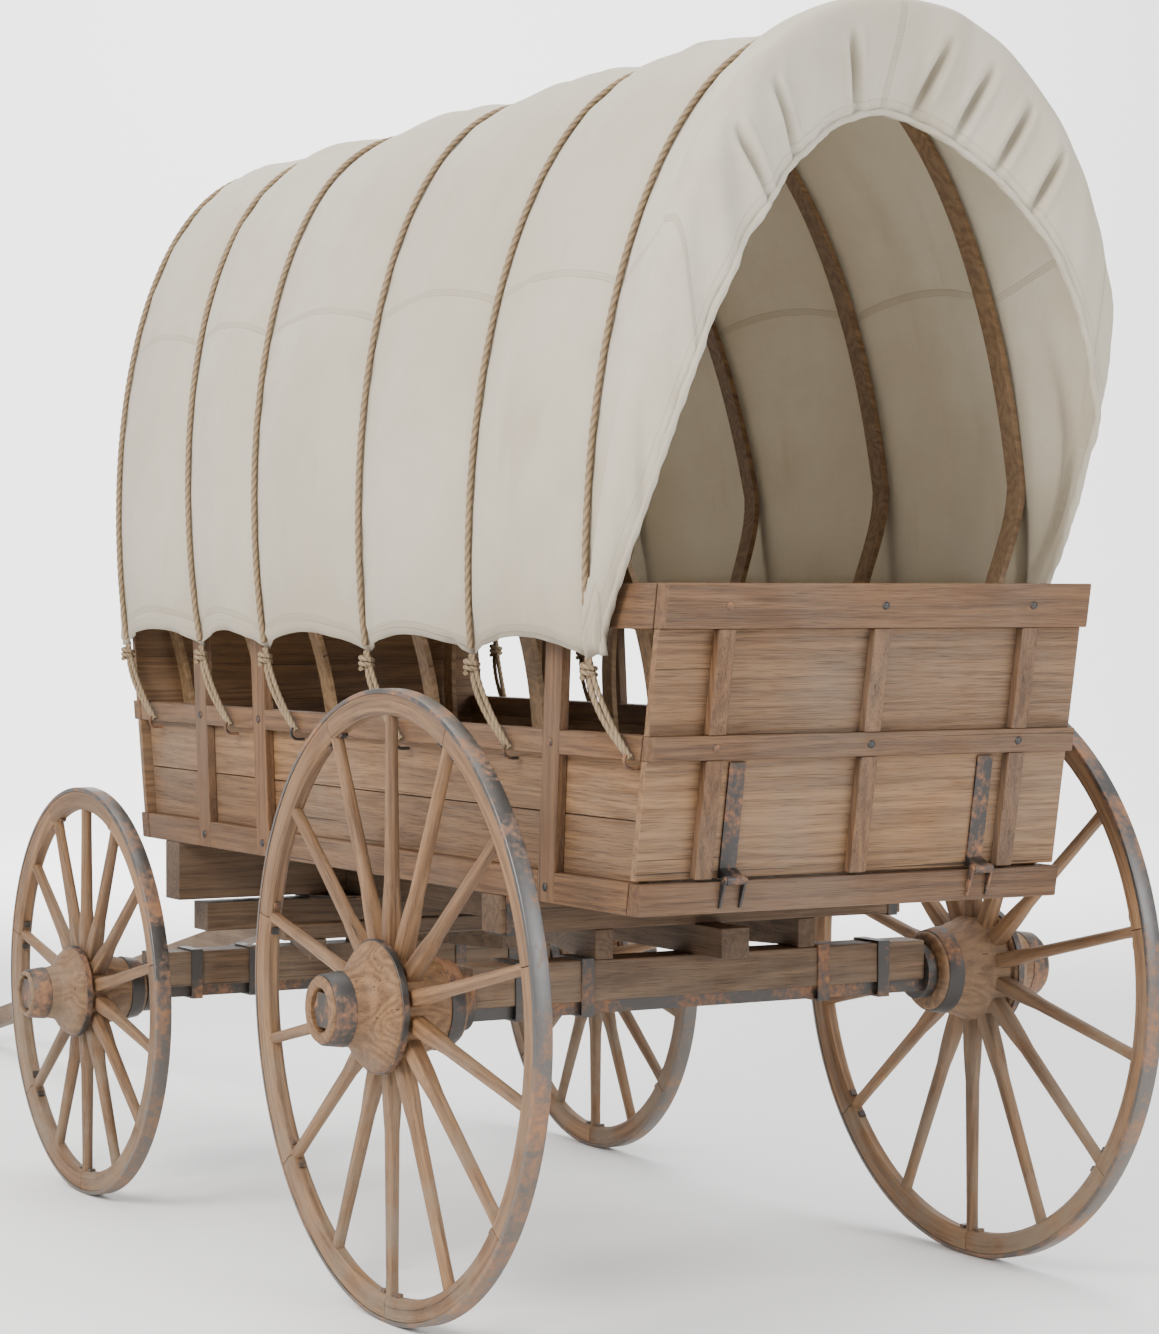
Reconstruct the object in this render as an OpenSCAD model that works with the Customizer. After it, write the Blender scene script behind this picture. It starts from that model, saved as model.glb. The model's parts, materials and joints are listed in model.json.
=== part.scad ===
// Small farm-type covered wagon with a drop tailgate, a canvas cover on six bows,
// four spoked wheels, a steering front gear and a pole resting on the ground.
// X runs forward, Y to the wagon's left, Z up. Lengths are in millimetres.

/* [Box] */
// Length of the box along its bottom sills
box_l = 2568; // [2100:1:3200]
// Outside width of the box
box_w = 1016; // [840:1:1150]
// Height of the box's underside above the ground
box_z = 883; // [860:1:960]
// Height of the bottom sills
sill_h = 64; // [50:1:75]
// Thickness of the bottom sills
sill_t = 60; // [50:1:70]
// Underside of the middle rail above the box's underside
mid_z = 306; // [260:1:360]
// Height of the middle rail
mid_h = 49; // [40:1:60]
// Underside of the top rail above the box's underside
top_z = 564; // [480:1:620]
// Height of the top rail
top_h = 90; // [60:1:100]
// Thickness of the rails, which the stakes are let into
rail_t = 45; // [38:1:50]
// How far each end gate leans out for each millimetre of height
gate_lean = 0.185; // [0.1:0.005:0.22]
// Thickness of each end gate
gate_t = 45; // [40:1:50]
// Gap around the tailgate
gate_gap = 5; // [5:0.5:8]

/* [Boards and stakes] */
// Thickness of the side, end and floor boards
board_t = 20; // [15:1:22]
// Depth that each stake is let into the rails
stake_t = 23; // [18:1:26]
// Width of the side stakes
side_stake_w = 70; // [50:1:80]
// Width of the stakes on the end gates
gate_stake_w = 40; // [30:1:50]
// Distance from the box's rear end to each side stake's foot
side_stake_x = [378, 1795, 2152];
// How far each side stake's head stands ahead of its foot
side_stake_lean = [-48, 52, 56];
// Distance of the outer gate stakes from the middle one
gate_stake_y = 365; // [300:1:390]
// Number of floor boards
floor_boards_n = 6; // [4:1:8]
// Gap between floor boards
floor_gap = 3; // [2:0.5:5]
// Height of the cross sills that carry the floor
cross_sill_h = 42; // [35:1:44]
// Width of the cross sills
cross_sill_w = 70; // [50:1:90]
// Number of cross sills
cross_sill_n = 5; // [3:1:7]

/* [Tailgate hinges] */
// Radius of the hinge pins
hinge_pin_r = 5; // [4:0.5:6]
// Distance of each hinge from the middle of the gate
hinge_y = 300; // [200:1:330]
// Length of each hinge knuckle
knuckle_l = 40; // [30:1:50]
// Thickness of the hinge straps and ears
strap_t = 5; // [4:0.5:6]

/* [Bows and cover] */
// Distance from the box's rear end to the foot of each bow
bow_x = [117, 608, 1075, 1601, 1966, 2480];
// How far each bow's crown stands ahead of its feet
bow_lean = [57, 93, 264, 382, 477, 385];
// Width of the bow slats
bow_w = 50; // [40:1:60]
// Thickness of the bow slats
bow_t = 14; // [10:1:18]
// Height above the ground at which the bows' legs end and their arch begins
bow_side_z = 1750; // [1700:1:1800]
// Height of the middle of the ellipse that the arch follows
arch_base_z = 1500; // [1450:1:1550]
// Height of the bows' crown above the ground
bow_top_z = 2646; // [2500:1:2700]
// How far the ellipse that the arch follows stands out beyond the box's side
bow_out = 22; // [15:1:40]
// Thickness of the cover as a solid
cover_t = 6; // [5:0.5:8]
// Gap between the bows and the cover
cover_gap = 2; // [1.5:0.1:3]
// How far the canvas swells out between the bows
cover_swell = 30; // [15:1:40]
// Height of the hem under each bow
hem_z = 1385; // [1370:1:1400]
// How far the hem arches up between the bows
hem_arch = 40; // [20:1:50]
// How far the rear hood's rim stands out beyond the box's side at its widest
hood_side = 53; // [45:1:65]
// Height of the rear hood's widest point above the ground
hood_side_z = 1800; // [1750:1:1850]
// How far the rear hood's rim stands out beyond the rear bow's foot at the top
hood_out = 275; // [200:1:300]
// How far the rear hood's lip stands out beyond the rear bow's foot at its widest
lip_out = 300; // [240:1:330]
// How far the front hood's lip stands out ahead of the front bow's slat
front_out = 36; // [20:1:60]

/* [Wheels] */
// Radius of the rear wheels over the tyre
rear_r = 660; // [620:1:690]
// Radius of the front wheels over the tyre
front_r = 514; // [480:1:540]
// Distance from the box's rear end to the rear axle
rear_axle_x = 613; // [500:1:700]
// Distance from the rear axle to the front axle
wheelbase = 1754; // [1500:1:1900]
// Distance between the middles of the left and right rims
track = 1482; // [1400:1:1560]
// Width of the tyre
tyre_w = 40; // [34:1:55]
// Thickness of the tyre
tyre_t = 10; // [8:1:14]
// Depth of the felloe
felloe_t = 46; // [40:1:55]
// Width of the felloe
felloe_w = 38; // [32:1:50]
// Number of spokes in each wheel
spoke_n = 14; // [10:2:16]
// Greatest radius of a rear hub
rear_hub_r = 138; // [120:1:150]
// Greatest radius of a front hub
front_hub_r = 112; // [105:1:120]
// Length of a hub
hub_l = 306; // [280:1:320]
// Radius of the axle spindles
spindle_r = 27; // [24:0.5:30]
// Clearance around a spindle or pin that turns in its hole
run_gap = 0.05; // [0.02:0.01:0.1]

/* [Running gear] */
// Length of the axle beds
axle_bed_l = 1150; // [1050:1:1160]
// Fore and aft width of the axle beds
axle_bed_w = 90; // [80:1:110]
// Height of the axle beds
axle_bed_h = 88; // [75:1:95]
// Thickness of the iron under the axle beds
axle_iron_h = 28; // [20:1:30]
// Height of the reach and rear hounds
reach_h = 65; // [50:1:75]
// Width of the reach
reach_w = 70; // [60:1:80]
// Width of each hound bar
hound_w = 45; // [38:1:50]
// Height of the front hounds
hound_h = 50; // [45:1:55]
// Fore and aft width of the bolsters
bolster_w = 90; // [80:1:110]
// Radius of the round turning plates
plate_r = 150; // [120:1:180]
// Thickness of each turning plate
plate_t = 5; // [4:1:6]
// Gap between the turning plates
plate_gap = 0.3; // [0.2:0.1:0.5]
// Radius of the king bolt
king_r = 16; // [12:1:18]

/* [Pole] */
// Length of the pole from its pin to its tip
pole_l = 2700; // [2400:1:3000]
// Size of the pole's square section at its pin
pole_butt = 80; // [70:1:84]
// Size of the pole's square section at its tip
pole_tip = 55; // [45:1:60]
// Distance from the front axle to the pole's pin
pole_pin_x = 430; // [400:1:460]
// Radius of the pole's pin
pole_pin_r = 12; // [10:1:14]
// Gap between the pole's butt and each hound
pole_gap = 5; // [5:0.5:8]
// Radius of the hole for the doubletree's pin
draw_hole_r = 10; // [8:0.5:12]
// Distance from the pole's pin to the doubletree's hole
draw_hole_x = 330; // [250:1:400]

/* [Hidden] */

// Heights of the box's pieces above the ground
sill_top = box_z + sill_h;
mid_bot = box_z + mid_z;
mid_top = mid_bot + mid_h;
rail_bot = box_z + top_z;
box_top = rail_bot + top_h;
half_w = box_w / 2;
floor_bot = box_z + cross_sill_h;
gate_bot = sill_top + gate_gap;

// Lengthwise place of the box's slanted ends at a height
function rear_x(z) = -gate_lean * (z - box_z);
function front_x(z) = box_l + gate_lean * (z - box_z);

// Axle places
front_axle_x = rear_axle_x + wheelbase;
rear_bed_top = rear_r + axle_bed_h - 13;
front_bed_top = front_r + axle_bed_h;
hub_in = axle_bed_l / 2 + 28;
drum_r = 62;
drum_l = 24;
nut_r = 42;
nut_l = 22;
nut_recess = 30;
spindle_end = hub_in + hub_l - 8;

// Heights of the gear that stands between the axles and the box
reach_bot = rear_bed_top;
reach_top = reach_bot + reach_h;
hound_top = front_bed_top + hound_h;
upper_plate_bot = reach_bot - plate_t;
lower_plate_bot = upper_plate_bot - plate_gap - plate_t;
king_bot = front_r - 40;
pole_pin_z = front_bed_top + hound_h / 2;
pole_angle = asin(pole_pin_z / norm([pole_l, pole_tip / 2])) - atan(pole_tip / 2 / pole_l);
pole_x = front_axle_x + pole_pin_x;

function mix(a, b, t) = a + (b - a) * t;

// Bows: the feet stand on the floor, and the outline is that of the outer face
foot_z = sill_top;
foot_in = 120;
foot_y = half_w - foot_in;
bow_half_w = half_w + bow_out;
arch_steps = 20;
leg_steps = 14;
arch_start = asin((bow_side_z - arch_base_z) / (bow_top_z - arch_base_z));
leg_end_y = bow_half_w * cos(arch_start);

// Half width of the bow's outer face along its legs, which swing out over the rails
function leg_y(z) = let (s = (z - foot_z) / (bow_side_z - foot_z))
    foot_y + (leg_end_y - foot_y) * (1 - cos(180 * pow(s, 2.2))) / 2;

// One side of a bow's outline, from its foot to its crown, drawn in by d
function bow_side(d) = concat(
    [for (i = [0 : leg_steps - 1]) let (z = foot_z + (bow_side_z - foot_z) * i / leg_steps)
        [leg_y(z) - d, z]],
    [for (i = [0 : arch_steps]) let (a = mix(arch_start, 90, i / arch_steps))
        [(bow_half_w - d) * cos(a), arch_base_z + (bow_top_z - d - arch_base_z) * sin(a)]]);

// A whole arch from the left foot over the crown to the right foot
function whole_arch(side) = concat(side,
    [for (i = [len(side) - 2 : -1 : 0]) [-side[i][0], side[i][1]]]);

// A bar seen from the side: points of x and z, from y0 across w
module side_bar(points, y0, w) {
    translate([0, y0 + w, 0]) rotate([90, 0, 0]) linear_extrude(w) polygon(points);
}

// A lengthwise rail between the end gates, with slanted ends
module long_rail(z0, z1, y0, w) {
    inset = gate_t + gate_gap;
    side_bar([[rear_x(z0) + inset, z0], [front_x(z0) - inset, z0],
              [front_x(z1) - inset, z1], [rear_x(z1) + inset, z1]], y0, w);
}

// A stretch of end gate from outer face depth d0 to d1 at the rear
module rear_slab(z0, z1, d0, d1, y0, w) {
    side_bar([[rear_x(z0) + d0, z0], [rear_x(z0) + d1, z0],
              [rear_x(z1) + d1, z1], [rear_x(z1) + d0, z1]], y0, w);
}

// The same at the front
module front_slab(z0, z1, d0, d1, y0, w) {
    side_bar([[front_x(z0) - d1, z0], [front_x(z0) - d0, z0],
              [front_x(z1) - d0, z1], [front_x(z1) - d1, z1]], y0, w);
}

// Children on both sides of the wagon
module both_sides() {
    children();
    mirror([0, 1, 0]) children();
}

// Box ------------------------------------------------------------------

module left_stakes() {
    for (i = [0 : len(side_stake_x) - 1]) {
        x0 = side_stake_x[i];
        x1 = x0 + side_stake_lean[i];
        h = side_stake_w / 2;
        side_bar([[x0 - h, box_z], [x0 + h, box_z], [x1 + h, box_top], [x1 - h, box_top]],
                 half_w - stake_t, stake_t);
    }
}

module side_stakes() { color("burlywood") both_sides() left_stakes(); }

module side_sills() {
    color("tan") both_sides() difference() {
        long_rail(box_z, sill_top, half_w - sill_t, sill_t);
        left_stakes();
    }
}

module mid_rails() {
    color("tan") both_sides() difference() {
        long_rail(mid_bot, mid_top, half_w - rail_t, rail_t);
        left_stakes();
    }
}

module top_rails() {
    color("tan") both_sides() difference() {
        long_rail(rail_bot, box_top, half_w - rail_t, rail_t);
        left_stakes();
    }
}

// Boards of one side, between the sill and the middle rail, with a seam at half height
module side_boards(side) {
    seam = 2;
    z_mid = (sill_top + mid_bot) / 2;
    y0 = half_w - stake_t - board_t;
    mirror([0, side < 0 ? 1 : 0, 0]) {
        long_rail(sill_top, z_mid - seam / 2, y0, board_t);
        long_rail(z_mid + seam / 2, mid_bot, y0, board_t);
    }
}

module left_side_boards() { color("wheat") side_boards(1); }

module right_side_boards() { color("wheat") side_boards(-1); }

// Boards lie between the side sills, on the cross sills
module floor_boards() {
    span = box_w - 2 * sill_t;
    pitch = (span + floor_gap) / floor_boards_n;
    color("wheat") for (i = [0 : floor_boards_n - 1])
        long_rail(floor_bot, sill_top, -span / 2 + i * pitch, pitch - floor_gap);
}

module cross_sills() {
    first = cross_sill_w / 2 + gate_t + gate_gap;
    step = (box_l - 2 * first) / (cross_sill_n - 1);
    color("tan") for (i = [0 : cross_sill_n - 1])
        translate([first + i * step - cross_sill_w / 2, -(half_w - sill_t), box_z])
            cube([cross_sill_w, box_w - 2 * sill_t, cross_sill_h]);
}

module rear_sill() {
    color("tan") rear_slab(box_z, sill_top, 0, gate_t, -half_w, box_w);
}

// Stakes of an end gate from z0 up, for the slab module in use at the rear or front
module gate_stakes(z0, front) {
    for (y = [-gate_stake_y, 0, gate_stake_y])
        if (front) front_slab(z0, box_top, 0, stake_t, y - gate_stake_w / 2, gate_stake_w);
        else rear_slab(z0, box_top, 0, stake_t, y - gate_stake_w / 2, gate_stake_w);
}

// Rails and stakes joined in one frame; the boards stand behind the stakes
module front_gate_frame() {
    color("tan") {
        front_slab(box_z, sill_top, 0, gate_t, -half_w, box_w);
        front_slab(mid_bot, mid_top, 0, gate_t, -half_w, box_w);
        front_slab(rail_bot, box_top, 0, gate_t, -half_w, box_w);
        gate_stakes(sill_top, true);
    }
}

module front_gate_boards() {
    front = stake_t + 0.1;
    color("wheat") {
        front_slab(sill_top, mid_bot, front, front + board_t, -half_w, box_w);
        front_slab(mid_top, rail_bot, front, front + board_t, -half_w, box_w);
    }
}

// Tailgate ---------------------------------------------------------------

module tailgate_frame() {
    color("tan") {
        rear_slab(mid_bot, mid_top, 0, gate_t, -half_w, box_w);
        rear_slab(rail_bot, box_top, 0, gate_t, -half_w, box_w);
        gate_stakes(gate_bot, false);
    }
}

module tailgate_boards() {
    color("wheat") {
        rear_slab(gate_bot, mid_bot, stake_t, stake_t + board_t, -half_w, box_w);
        rear_slab(mid_top, rail_bot, stake_t, stake_t + board_t, -half_w, box_w);
    }
}

// Pin line of the tailgate, behind the gap over the rear sill
knuckle_r = hinge_pin_r + strap_t;
hinge_z = sill_top + gate_gap / 2;
hinge_x = rear_x(hinge_z) - knuckle_r;

module hinge_cylinder(r, y, l) {
    translate([hinge_x, y, hinge_z]) rotate([90, 0, 0]) cylinder(r = r, h = l, center = true, $fn = 48);
}

// Straps on the inner stakes' line, each with a knuckle round its pin
module tailgate_hinges() {
    strap_w = knuckle_l - 2;
    color("dimgray") for (y = [-hinge_y, hinge_y]) difference() {
        union() {
            hinge_cylinder(knuckle_r, y, knuckle_l);
            side_bar([[hinge_x, hinge_z + strap_t], [rear_x(gate_bot) + stake_t, gate_bot],
                      [rear_x(mid_bot - 6) + stake_t, mid_bot - 6],
                      [rear_x(mid_bot - 6) + stake_t - strap_t, mid_bot - 6],
                      [rear_x(gate_bot + 20) + stake_t - strap_t, gate_bot + 20],
                      [hinge_x - knuckle_r + 1, hinge_z + strap_t]],
                     y - strap_w / 2, strap_w);
        }
        hinge_cylinder(hinge_pin_r + run_gap, y, 2 * knuckle_l);
    }
}

// Each pin is held at both ends by an ear on the rear sill
module hinge_pins() {
    ear_gap = 1;
    ear_y = knuckle_l / 2 + ear_gap;
    color("gray") for (y = [-hinge_y, hinge_y]) {
        hinge_cylinder(hinge_pin_r, y, 2 * (ear_y + strap_t));
        for (s = [-1, 1]) {
            y0 = s > 0 ? y + ear_y : y - ear_y - strap_t;
            hinge_cylinder(knuckle_r - 1, y0 + strap_t / 2, strap_t);
            side_bar([[hinge_x - knuckle_r + 2, hinge_z], [hinge_x, hinge_z],
                      [rear_x(sill_top - 6), sill_top - 6], [rear_x(box_z + 10), box_z + 10],
                      [rear_x(box_z + 10) - strap_t, box_z + 10]], y0, strap_t);
        }
    }
}

// Bows and cover ---------------------------------------------------------

// One flat slat bent over the box, in an upright plane that leans by its crown's lead. Its feet
// are cut level with the floor.
foot_cut = 20;
module bow(x, lean) {
    rise = bow_top_z - foot_z;
    tilt = atan(lean / rise);
    stretch = 1 / cos(tilt);
    outer = whole_arch(bow_side(0));
    inner = whole_arch(bow_side(bow_t));
    n = len(inner);
    outline = concat(outer, [for (i = [n - 1 : -1 : 0]) inner[i]]);
    flat = [for (p = outline) [p[0], p[1] > foot_z ? (p[1] - foot_z) * stretch : -foot_cut]];
    difference() {
        translate([x, 0, foot_z]) rotate([0, tilt, 0]) translate([-bow_w / 2, 0, 0])
            rotate([90, 0, 90]) linear_extrude(bow_w) polygon(flat);
        translate([x - bow_w, -half_w, foot_z - 2 * foot_cut]) cube([2 * bow_w, box_w, 2 * foot_cut]);
    }
}

module cover_bows() {
    color("burlywood") for (i = [0 : len(bow_x) - 1]) bow(bow_x[i], bow_lean[i]);
}

// The cover is a grid of points: rows run along the wagon, columns over the arch.
// Each row of a bay is [foot x, lean, swell 0 to 1].
bay_rows = 4;
cover_cols = 32;
bows_n = len(bow_x);
bay_list = concat(
    [for (i = [0 : bows_n - 2]) for (j = [0 : bay_rows - 1]) let (t = j / bay_rows)
        [mix(bow_x[i], bow_x[i + 1], t), mix(bow_lean[i], bow_lean[i + 1], t), sin(180 * t)]],
    [[bow_x[bows_n - 1], bow_lean[bows_n - 1], 0]]);

valley_w = bow_half_w + cover_gap + cover_t;
valley_top = bow_top_z + cover_gap + cover_t;

// Point of the outer surface for u from 0 at the left hem to 1 at the right hem. Its height
// follows a sine from low to top. Its half width is w up to the height base, less what the hem is
// drawn in, and a superellipse above.
function arch_point(u, w, top, low, base, power, hem_in) = let (
        z = low + (top - low) * sin(180 * min(u, 1 - u)),
        k = max(0, (z - base) / (top - base)),
        y = w * pow(max(0, 1 - pow(k, power)), 1 / power)
            - hem_in * pow(max(0, (base - z) / (base - low)), 2))
    [u < 0.5 ? y : -y, z];

function lean_x(row, z) = row[0] + row[1] * (z - foot_z) / (bow_top_z - foot_z);

function valley_point(u, swell, lift) =
    arch_point(u, valley_w + swell, valley_top + swell, hem_z + lift, arch_base_z, 2, 4);

function bay_point(row, u) = let (
        p = valley_point(u, cover_swell * row[2], hem_arch * row[2]))
    [lean_x(row, p[1]), p[0], p[1]];

// Hood rows: the rim at full swell stands out beyond the rear bow, and the lip is drawn in to a
// narrow pointed arch. f is 0 at the rim and 1 at the lip. The front hood starts at the front bow.
lip_w = half_w + 17;
hood_half_w = half_w + hood_side;
lip_drop = 214;
lip_pow = 1.55;
hood_low = 1435;
rim_rise = 1015;
lip_rise = 700;
lip_back = 94;
rim_top = valley_top + cover_swell;
lip_top = rim_top - lip_drop;
function rim_x(z) = hood_out * sin(90 * min(1, max(0, (z - hood_low) / rim_rise)));
function lip_x(z) = lip_out * sin(90 * min(1, max(0, (z - hood_low) / lip_rise)))
    - lip_back * pow(max(0, (z - hood_low - lip_rise) / (lip_top - hood_low - lip_rise)), 2);
function rim_point(u) = arch_point(u, hood_half_w, rim_top, hem_z + 10, hood_side_z, 2.2, 28);
function lip_point(p) = let (
        k = (p[1] - hem_z) / (rim_top - hem_z),
        z = hem_z + (lip_top - hem_z) * k,
        s = p[0] < 0 ? -1 : 1,
        drawn = lip_w * pow(max(0, 1 - pow(max(0, (z - hem_z) / (lip_top - hem_z)), 3)), 1 / lip_pow))
    [s * min(abs(p[0]) - 4 * sin(180 * min(1, k * 3)), drawn), z];
function rear_hood(f, u) = let (
        p = rim_point(u), q = lip_point(p),
        out = mix(rim_x(p[1]), lip_x(q[1]), f) + 20 * sin(180 * f))
    [bow_x[0] - out, mix(p[0], q[0], f), mix(p[1], q[1], f)];
function front_hood(f, u) = let (
        p = valley_point(u, 0, 0), q = lip_point(p),
        z = mix(p[1], q[1], f))
    [lean_x([bow_x[bows_n - 1], bow_lean[bows_n - 1]], z) + bow_w / 2 + 3 + front_out * sin(90 * f),
     mix(p[0], q[0], f), z];

hood_f = [1, 0.66, 0.33, 0];
cover_rows = concat(
    [for (f = hood_f) [for (c = [0 : cover_cols]) rear_hood(f, c / cover_cols)]],
    [for (row = bay_list) [for (c = [0 : cover_cols]) bay_point(row, c / cover_cols)]],
    [for (f = [0, 0.35, 0.7, 1]) [for (c = [0 : cover_cols]) front_hood(f, c / cover_cols)]]);

// Middle of the whole object along X, between the hood's rear lip and the pole's tip
rear_most = min([for (row = cover_rows) for (p = row) p[0]]);
front_most = pole_x + pole_l * cos(pole_angle) + pole_tip / 2 * sin(pole_angle);
mid_x = (rear_most + front_most) / 2;

module placed() { translate([-mid_x, 0, 0]) children(); }

// Inner surface: each point drawn in along the grid's own normal
function grid_normal(g, i, j) = let (
        n = len(g) - 1, m = len(g[0]) - 1,
        a = g[min(n, i + 1)][j] - g[max(0, i - 1)][j],
        b = g[i][min(m, j + 1)] - g[i][max(0, j - 1)],
        c = cross(b, a))
    c / norm(c);

module canvas_cover() {
    g = cover_rows;
    n = len(g);
    m = len(g[0]);
    inner = [for (i = [0 : n - 1]) [for (j = [0 : m - 1]) g[i][j] + cover_t * grid_normal(g, i, j)]];
    points = concat([for (r = g) for (p = r) p], [for (r = inner) for (p = r) p]);
    o = n * m;
    function id(i, j) = i * m + j;
    faces = concat(
        [for (i = [0 : n - 2]) for (j = [0 : m - 2]) each
            [[id(i, j), id(i + 1, j), id(i + 1, j + 1)], [id(i, j), id(i + 1, j + 1), id(i, j + 1)],
             [o + id(i, j), o + id(i + 1, j + 1), o + id(i + 1, j)],
             [o + id(i, j), o + id(i, j + 1), o + id(i + 1, j + 1)]]],
        [for (i = [0 : n - 2]) each
            [[id(i, 0), o + id(i, 0), o + id(i + 1, 0)], [id(i, 0), o + id(i + 1, 0), id(i + 1, 0)],
             [id(i, m - 1), o + id(i + 1, m - 1), o + id(i, m - 1)],
             [id(i, m - 1), id(i + 1, m - 1), o + id(i + 1, m - 1)]]],
        [for (j = [0 : m - 2]) each
            [[id(0, j), o + id(0, j + 1), o + id(0, j)], [id(0, j), id(0, j + 1), o + id(0, j + 1)],
             [id(n - 1, j), o + id(n - 1, j), o + id(n - 1, j + 1)],
             [id(n - 1, j), o + id(n - 1, j + 1), id(n - 1, j + 1)]]]);
    color("ivory") polyhedron(points, faces);
}

// Running gear -----------------------------------------------------------

module axle_cylinder(x, z, y, r, l) {
    translate([x, y, z]) rotate([-90, 0, 0]) cylinder(r = r, h = l, $fn = 64);
}

// Wooden bed over an axle
module axle_bed(x, top) {
    translate([x - axle_bed_w / 2, -axle_bed_l / 2, top - axle_bed_h])
        cube([axle_bed_w, axle_bed_l, axle_bed_h]);
}

// Iron under the bed, a drum against each bed end, and the spindles with their nuts
module axle_iron(x, z, top) {
    bar_w = axle_bed_w - 24;
    y0 = axle_bed_l / 2;
    translate([x - bar_w / 2, -y0 - 1, top - axle_bed_h - axle_iron_h])
        cube([bar_w, 2 * y0 + 2, axle_iron_h]);
    both_sides() {
        axle_cylinder(x, z, y0, drum_r, drum_l);
        axle_cylinder(x, z, y0, spindle_r, spindle_end - y0);
        translate([x, spindle_end - nut_l, z]) rotate([-90, 0, 0]) cylinder(r = nut_r, h = nut_l, $fn = 6);
    }
}

module rear_axle_bed() { color("burlywood") axle_bed(rear_axle_x, rear_bed_top); }

module rear_axle_iron() { color("dimgray") axle_iron(rear_axle_x, rear_r, rear_bed_top); }

module reach() {
    tail = 160;
    nose = bolster_w / 2;
    color("burlywood") difference() {
        translate([rear_axle_x - tail, -reach_w / 2, reach_bot])
            cube([wheelbase + tail + nose, reach_w, reach_h]);
        king_hole();
    }
}

module king_hole() {
    translate([front_axle_x, 0, 0]) cylinder(r = king_r + run_gap, h = box_z + 1, $fn = 64);
}

module rear_bolster() {
    color("burlywood") translate([rear_axle_x - bolster_w / 2, -half_w, reach_top])
        cube([bolster_w, box_w, box_z - reach_top]);
}

// Two bars from the rear axle bed that meet the reach
module rear_hounds() {
    spread = 280;
    run = 700;
    y1 = reach_w / 2;
    color("burlywood") both_sides() translate([0, 0, reach_bot]) linear_extrude(reach_h)
        polygon([[rear_axle_x - axle_bed_w / 2, spread], [rear_axle_x + axle_bed_w / 2, spread],
                 [rear_axle_x + run, y1 + hound_w], [rear_axle_x + run + 120, y1 + 6],
                 [rear_axle_x + run + 120, y1], [rear_axle_x + run, y1],
                 [rear_axle_x + axle_bed_w / 2, spread - hound_w],
                 [rear_axle_x - axle_bed_w / 2, spread - hound_w]]);
}

// Front bolster, cut over the reach, with the upper turning plate under it
module front_bolster() {
    color("burlywood") difference() {
        union() {
            translate([front_axle_x - bolster_w / 2, -half_w, reach_bot])
                cube([bolster_w, box_w, box_z - reach_bot]);
            translate([front_axle_x, 0, upper_plate_bot]) cylinder(r = plate_r, h = plate_t, $fn = 96);
        }
        translate([front_axle_x - bolster_w, -reach_w / 2, reach_bot])
            cube([2 * bolster_w, reach_w, reach_h]);
        king_hole();
    }
}

// Bolt through bolster, reach and front gear, with a round head on the underside
module king_bolt() {
    head_h = 14;
    color("gray") translate([front_axle_x, 0, 0]) {
        translate([0, 0, king_bot]) cylinder(r = king_r, h = box_z - 2 - king_bot, $fn = 64);
        translate([0, 0, king_bot - head_h]) cylinder(r = 2 * king_r, h = head_h, $fn = 64);
    }
}

module front_axle_bed() {
    color("burlywood") difference() {
        axle_bed(front_axle_x, front_bed_top);
        king_hole();
    }
}

module front_axle_iron() {
    color("dimgray") difference() {
        axle_iron(front_axle_x, front_r, front_bed_top);
        king_hole();
    }
}

jaw_y = pole_butt / 2 + pole_gap;

// Bars that spread behind the axle and close to a jaw round the pole's butt
module front_hounds() {
    back = 380;
    spread = 250;
    elbow = 250;
    jaw = pole_pin_x + 60;
    x = front_axle_x;
    color("burlywood") difference() {
        both_sides() translate([0, 0, front_bed_top]) linear_extrude(hound_h)
            polygon([[x - back, spread], [x - back, spread + hound_w], [x + elbow, jaw_y + hound_w],
                     [x + jaw, jaw_y + hound_w], [x + jaw, jaw_y], [x + elbow, jaw_y]]);
        axle_cylinder(pole_x, pole_pin_z, -half_w, pole_pin_r + run_gap, box_w);
    }
}

// Block on the hounds that carries the lower turning plate
module sand_bolster() {
    color("burlywood") difference() {
        union() {
            translate([front_axle_x - bolster_w / 2, -430, hound_top])
                cube([bolster_w, 860, lower_plate_bot - hound_top]);
            translate([front_axle_x, 0, lower_plate_bot]) cylinder(r = plate_r, h = plate_t, $fn = 96);
        }
        king_hole();
    }
}

// Bar across the back ends of the hounds, under the reach
module sway_bar() {
    sway_w = 50;
    sway_h = 40;
    color("burlywood") translate([front_axle_x - 370, -360, hound_top]) cube([sway_w, 720, sway_h]);
}

// Pole -------------------------------------------------------------------

module pole_pin() {
    head_l = 12;
    y1 = jaw_y + hound_w;
    color("gray") {
        axle_cylinder(pole_x, pole_pin_z, -y1 - 1, pole_pin_r, 2 * y1 + 2);
        both_sides() axle_cylinder(pole_x, pole_pin_z, y1 + 1, 1.6 * pole_pin_r, head_l);
    }
}

// Children in the pole's own frame: X along it from the pin towards the tip, sloping down
module along_pole() {
    translate([pole_x, 0, pole_pin_z]) rotate([0, pole_angle, 0]) children();
}

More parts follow.
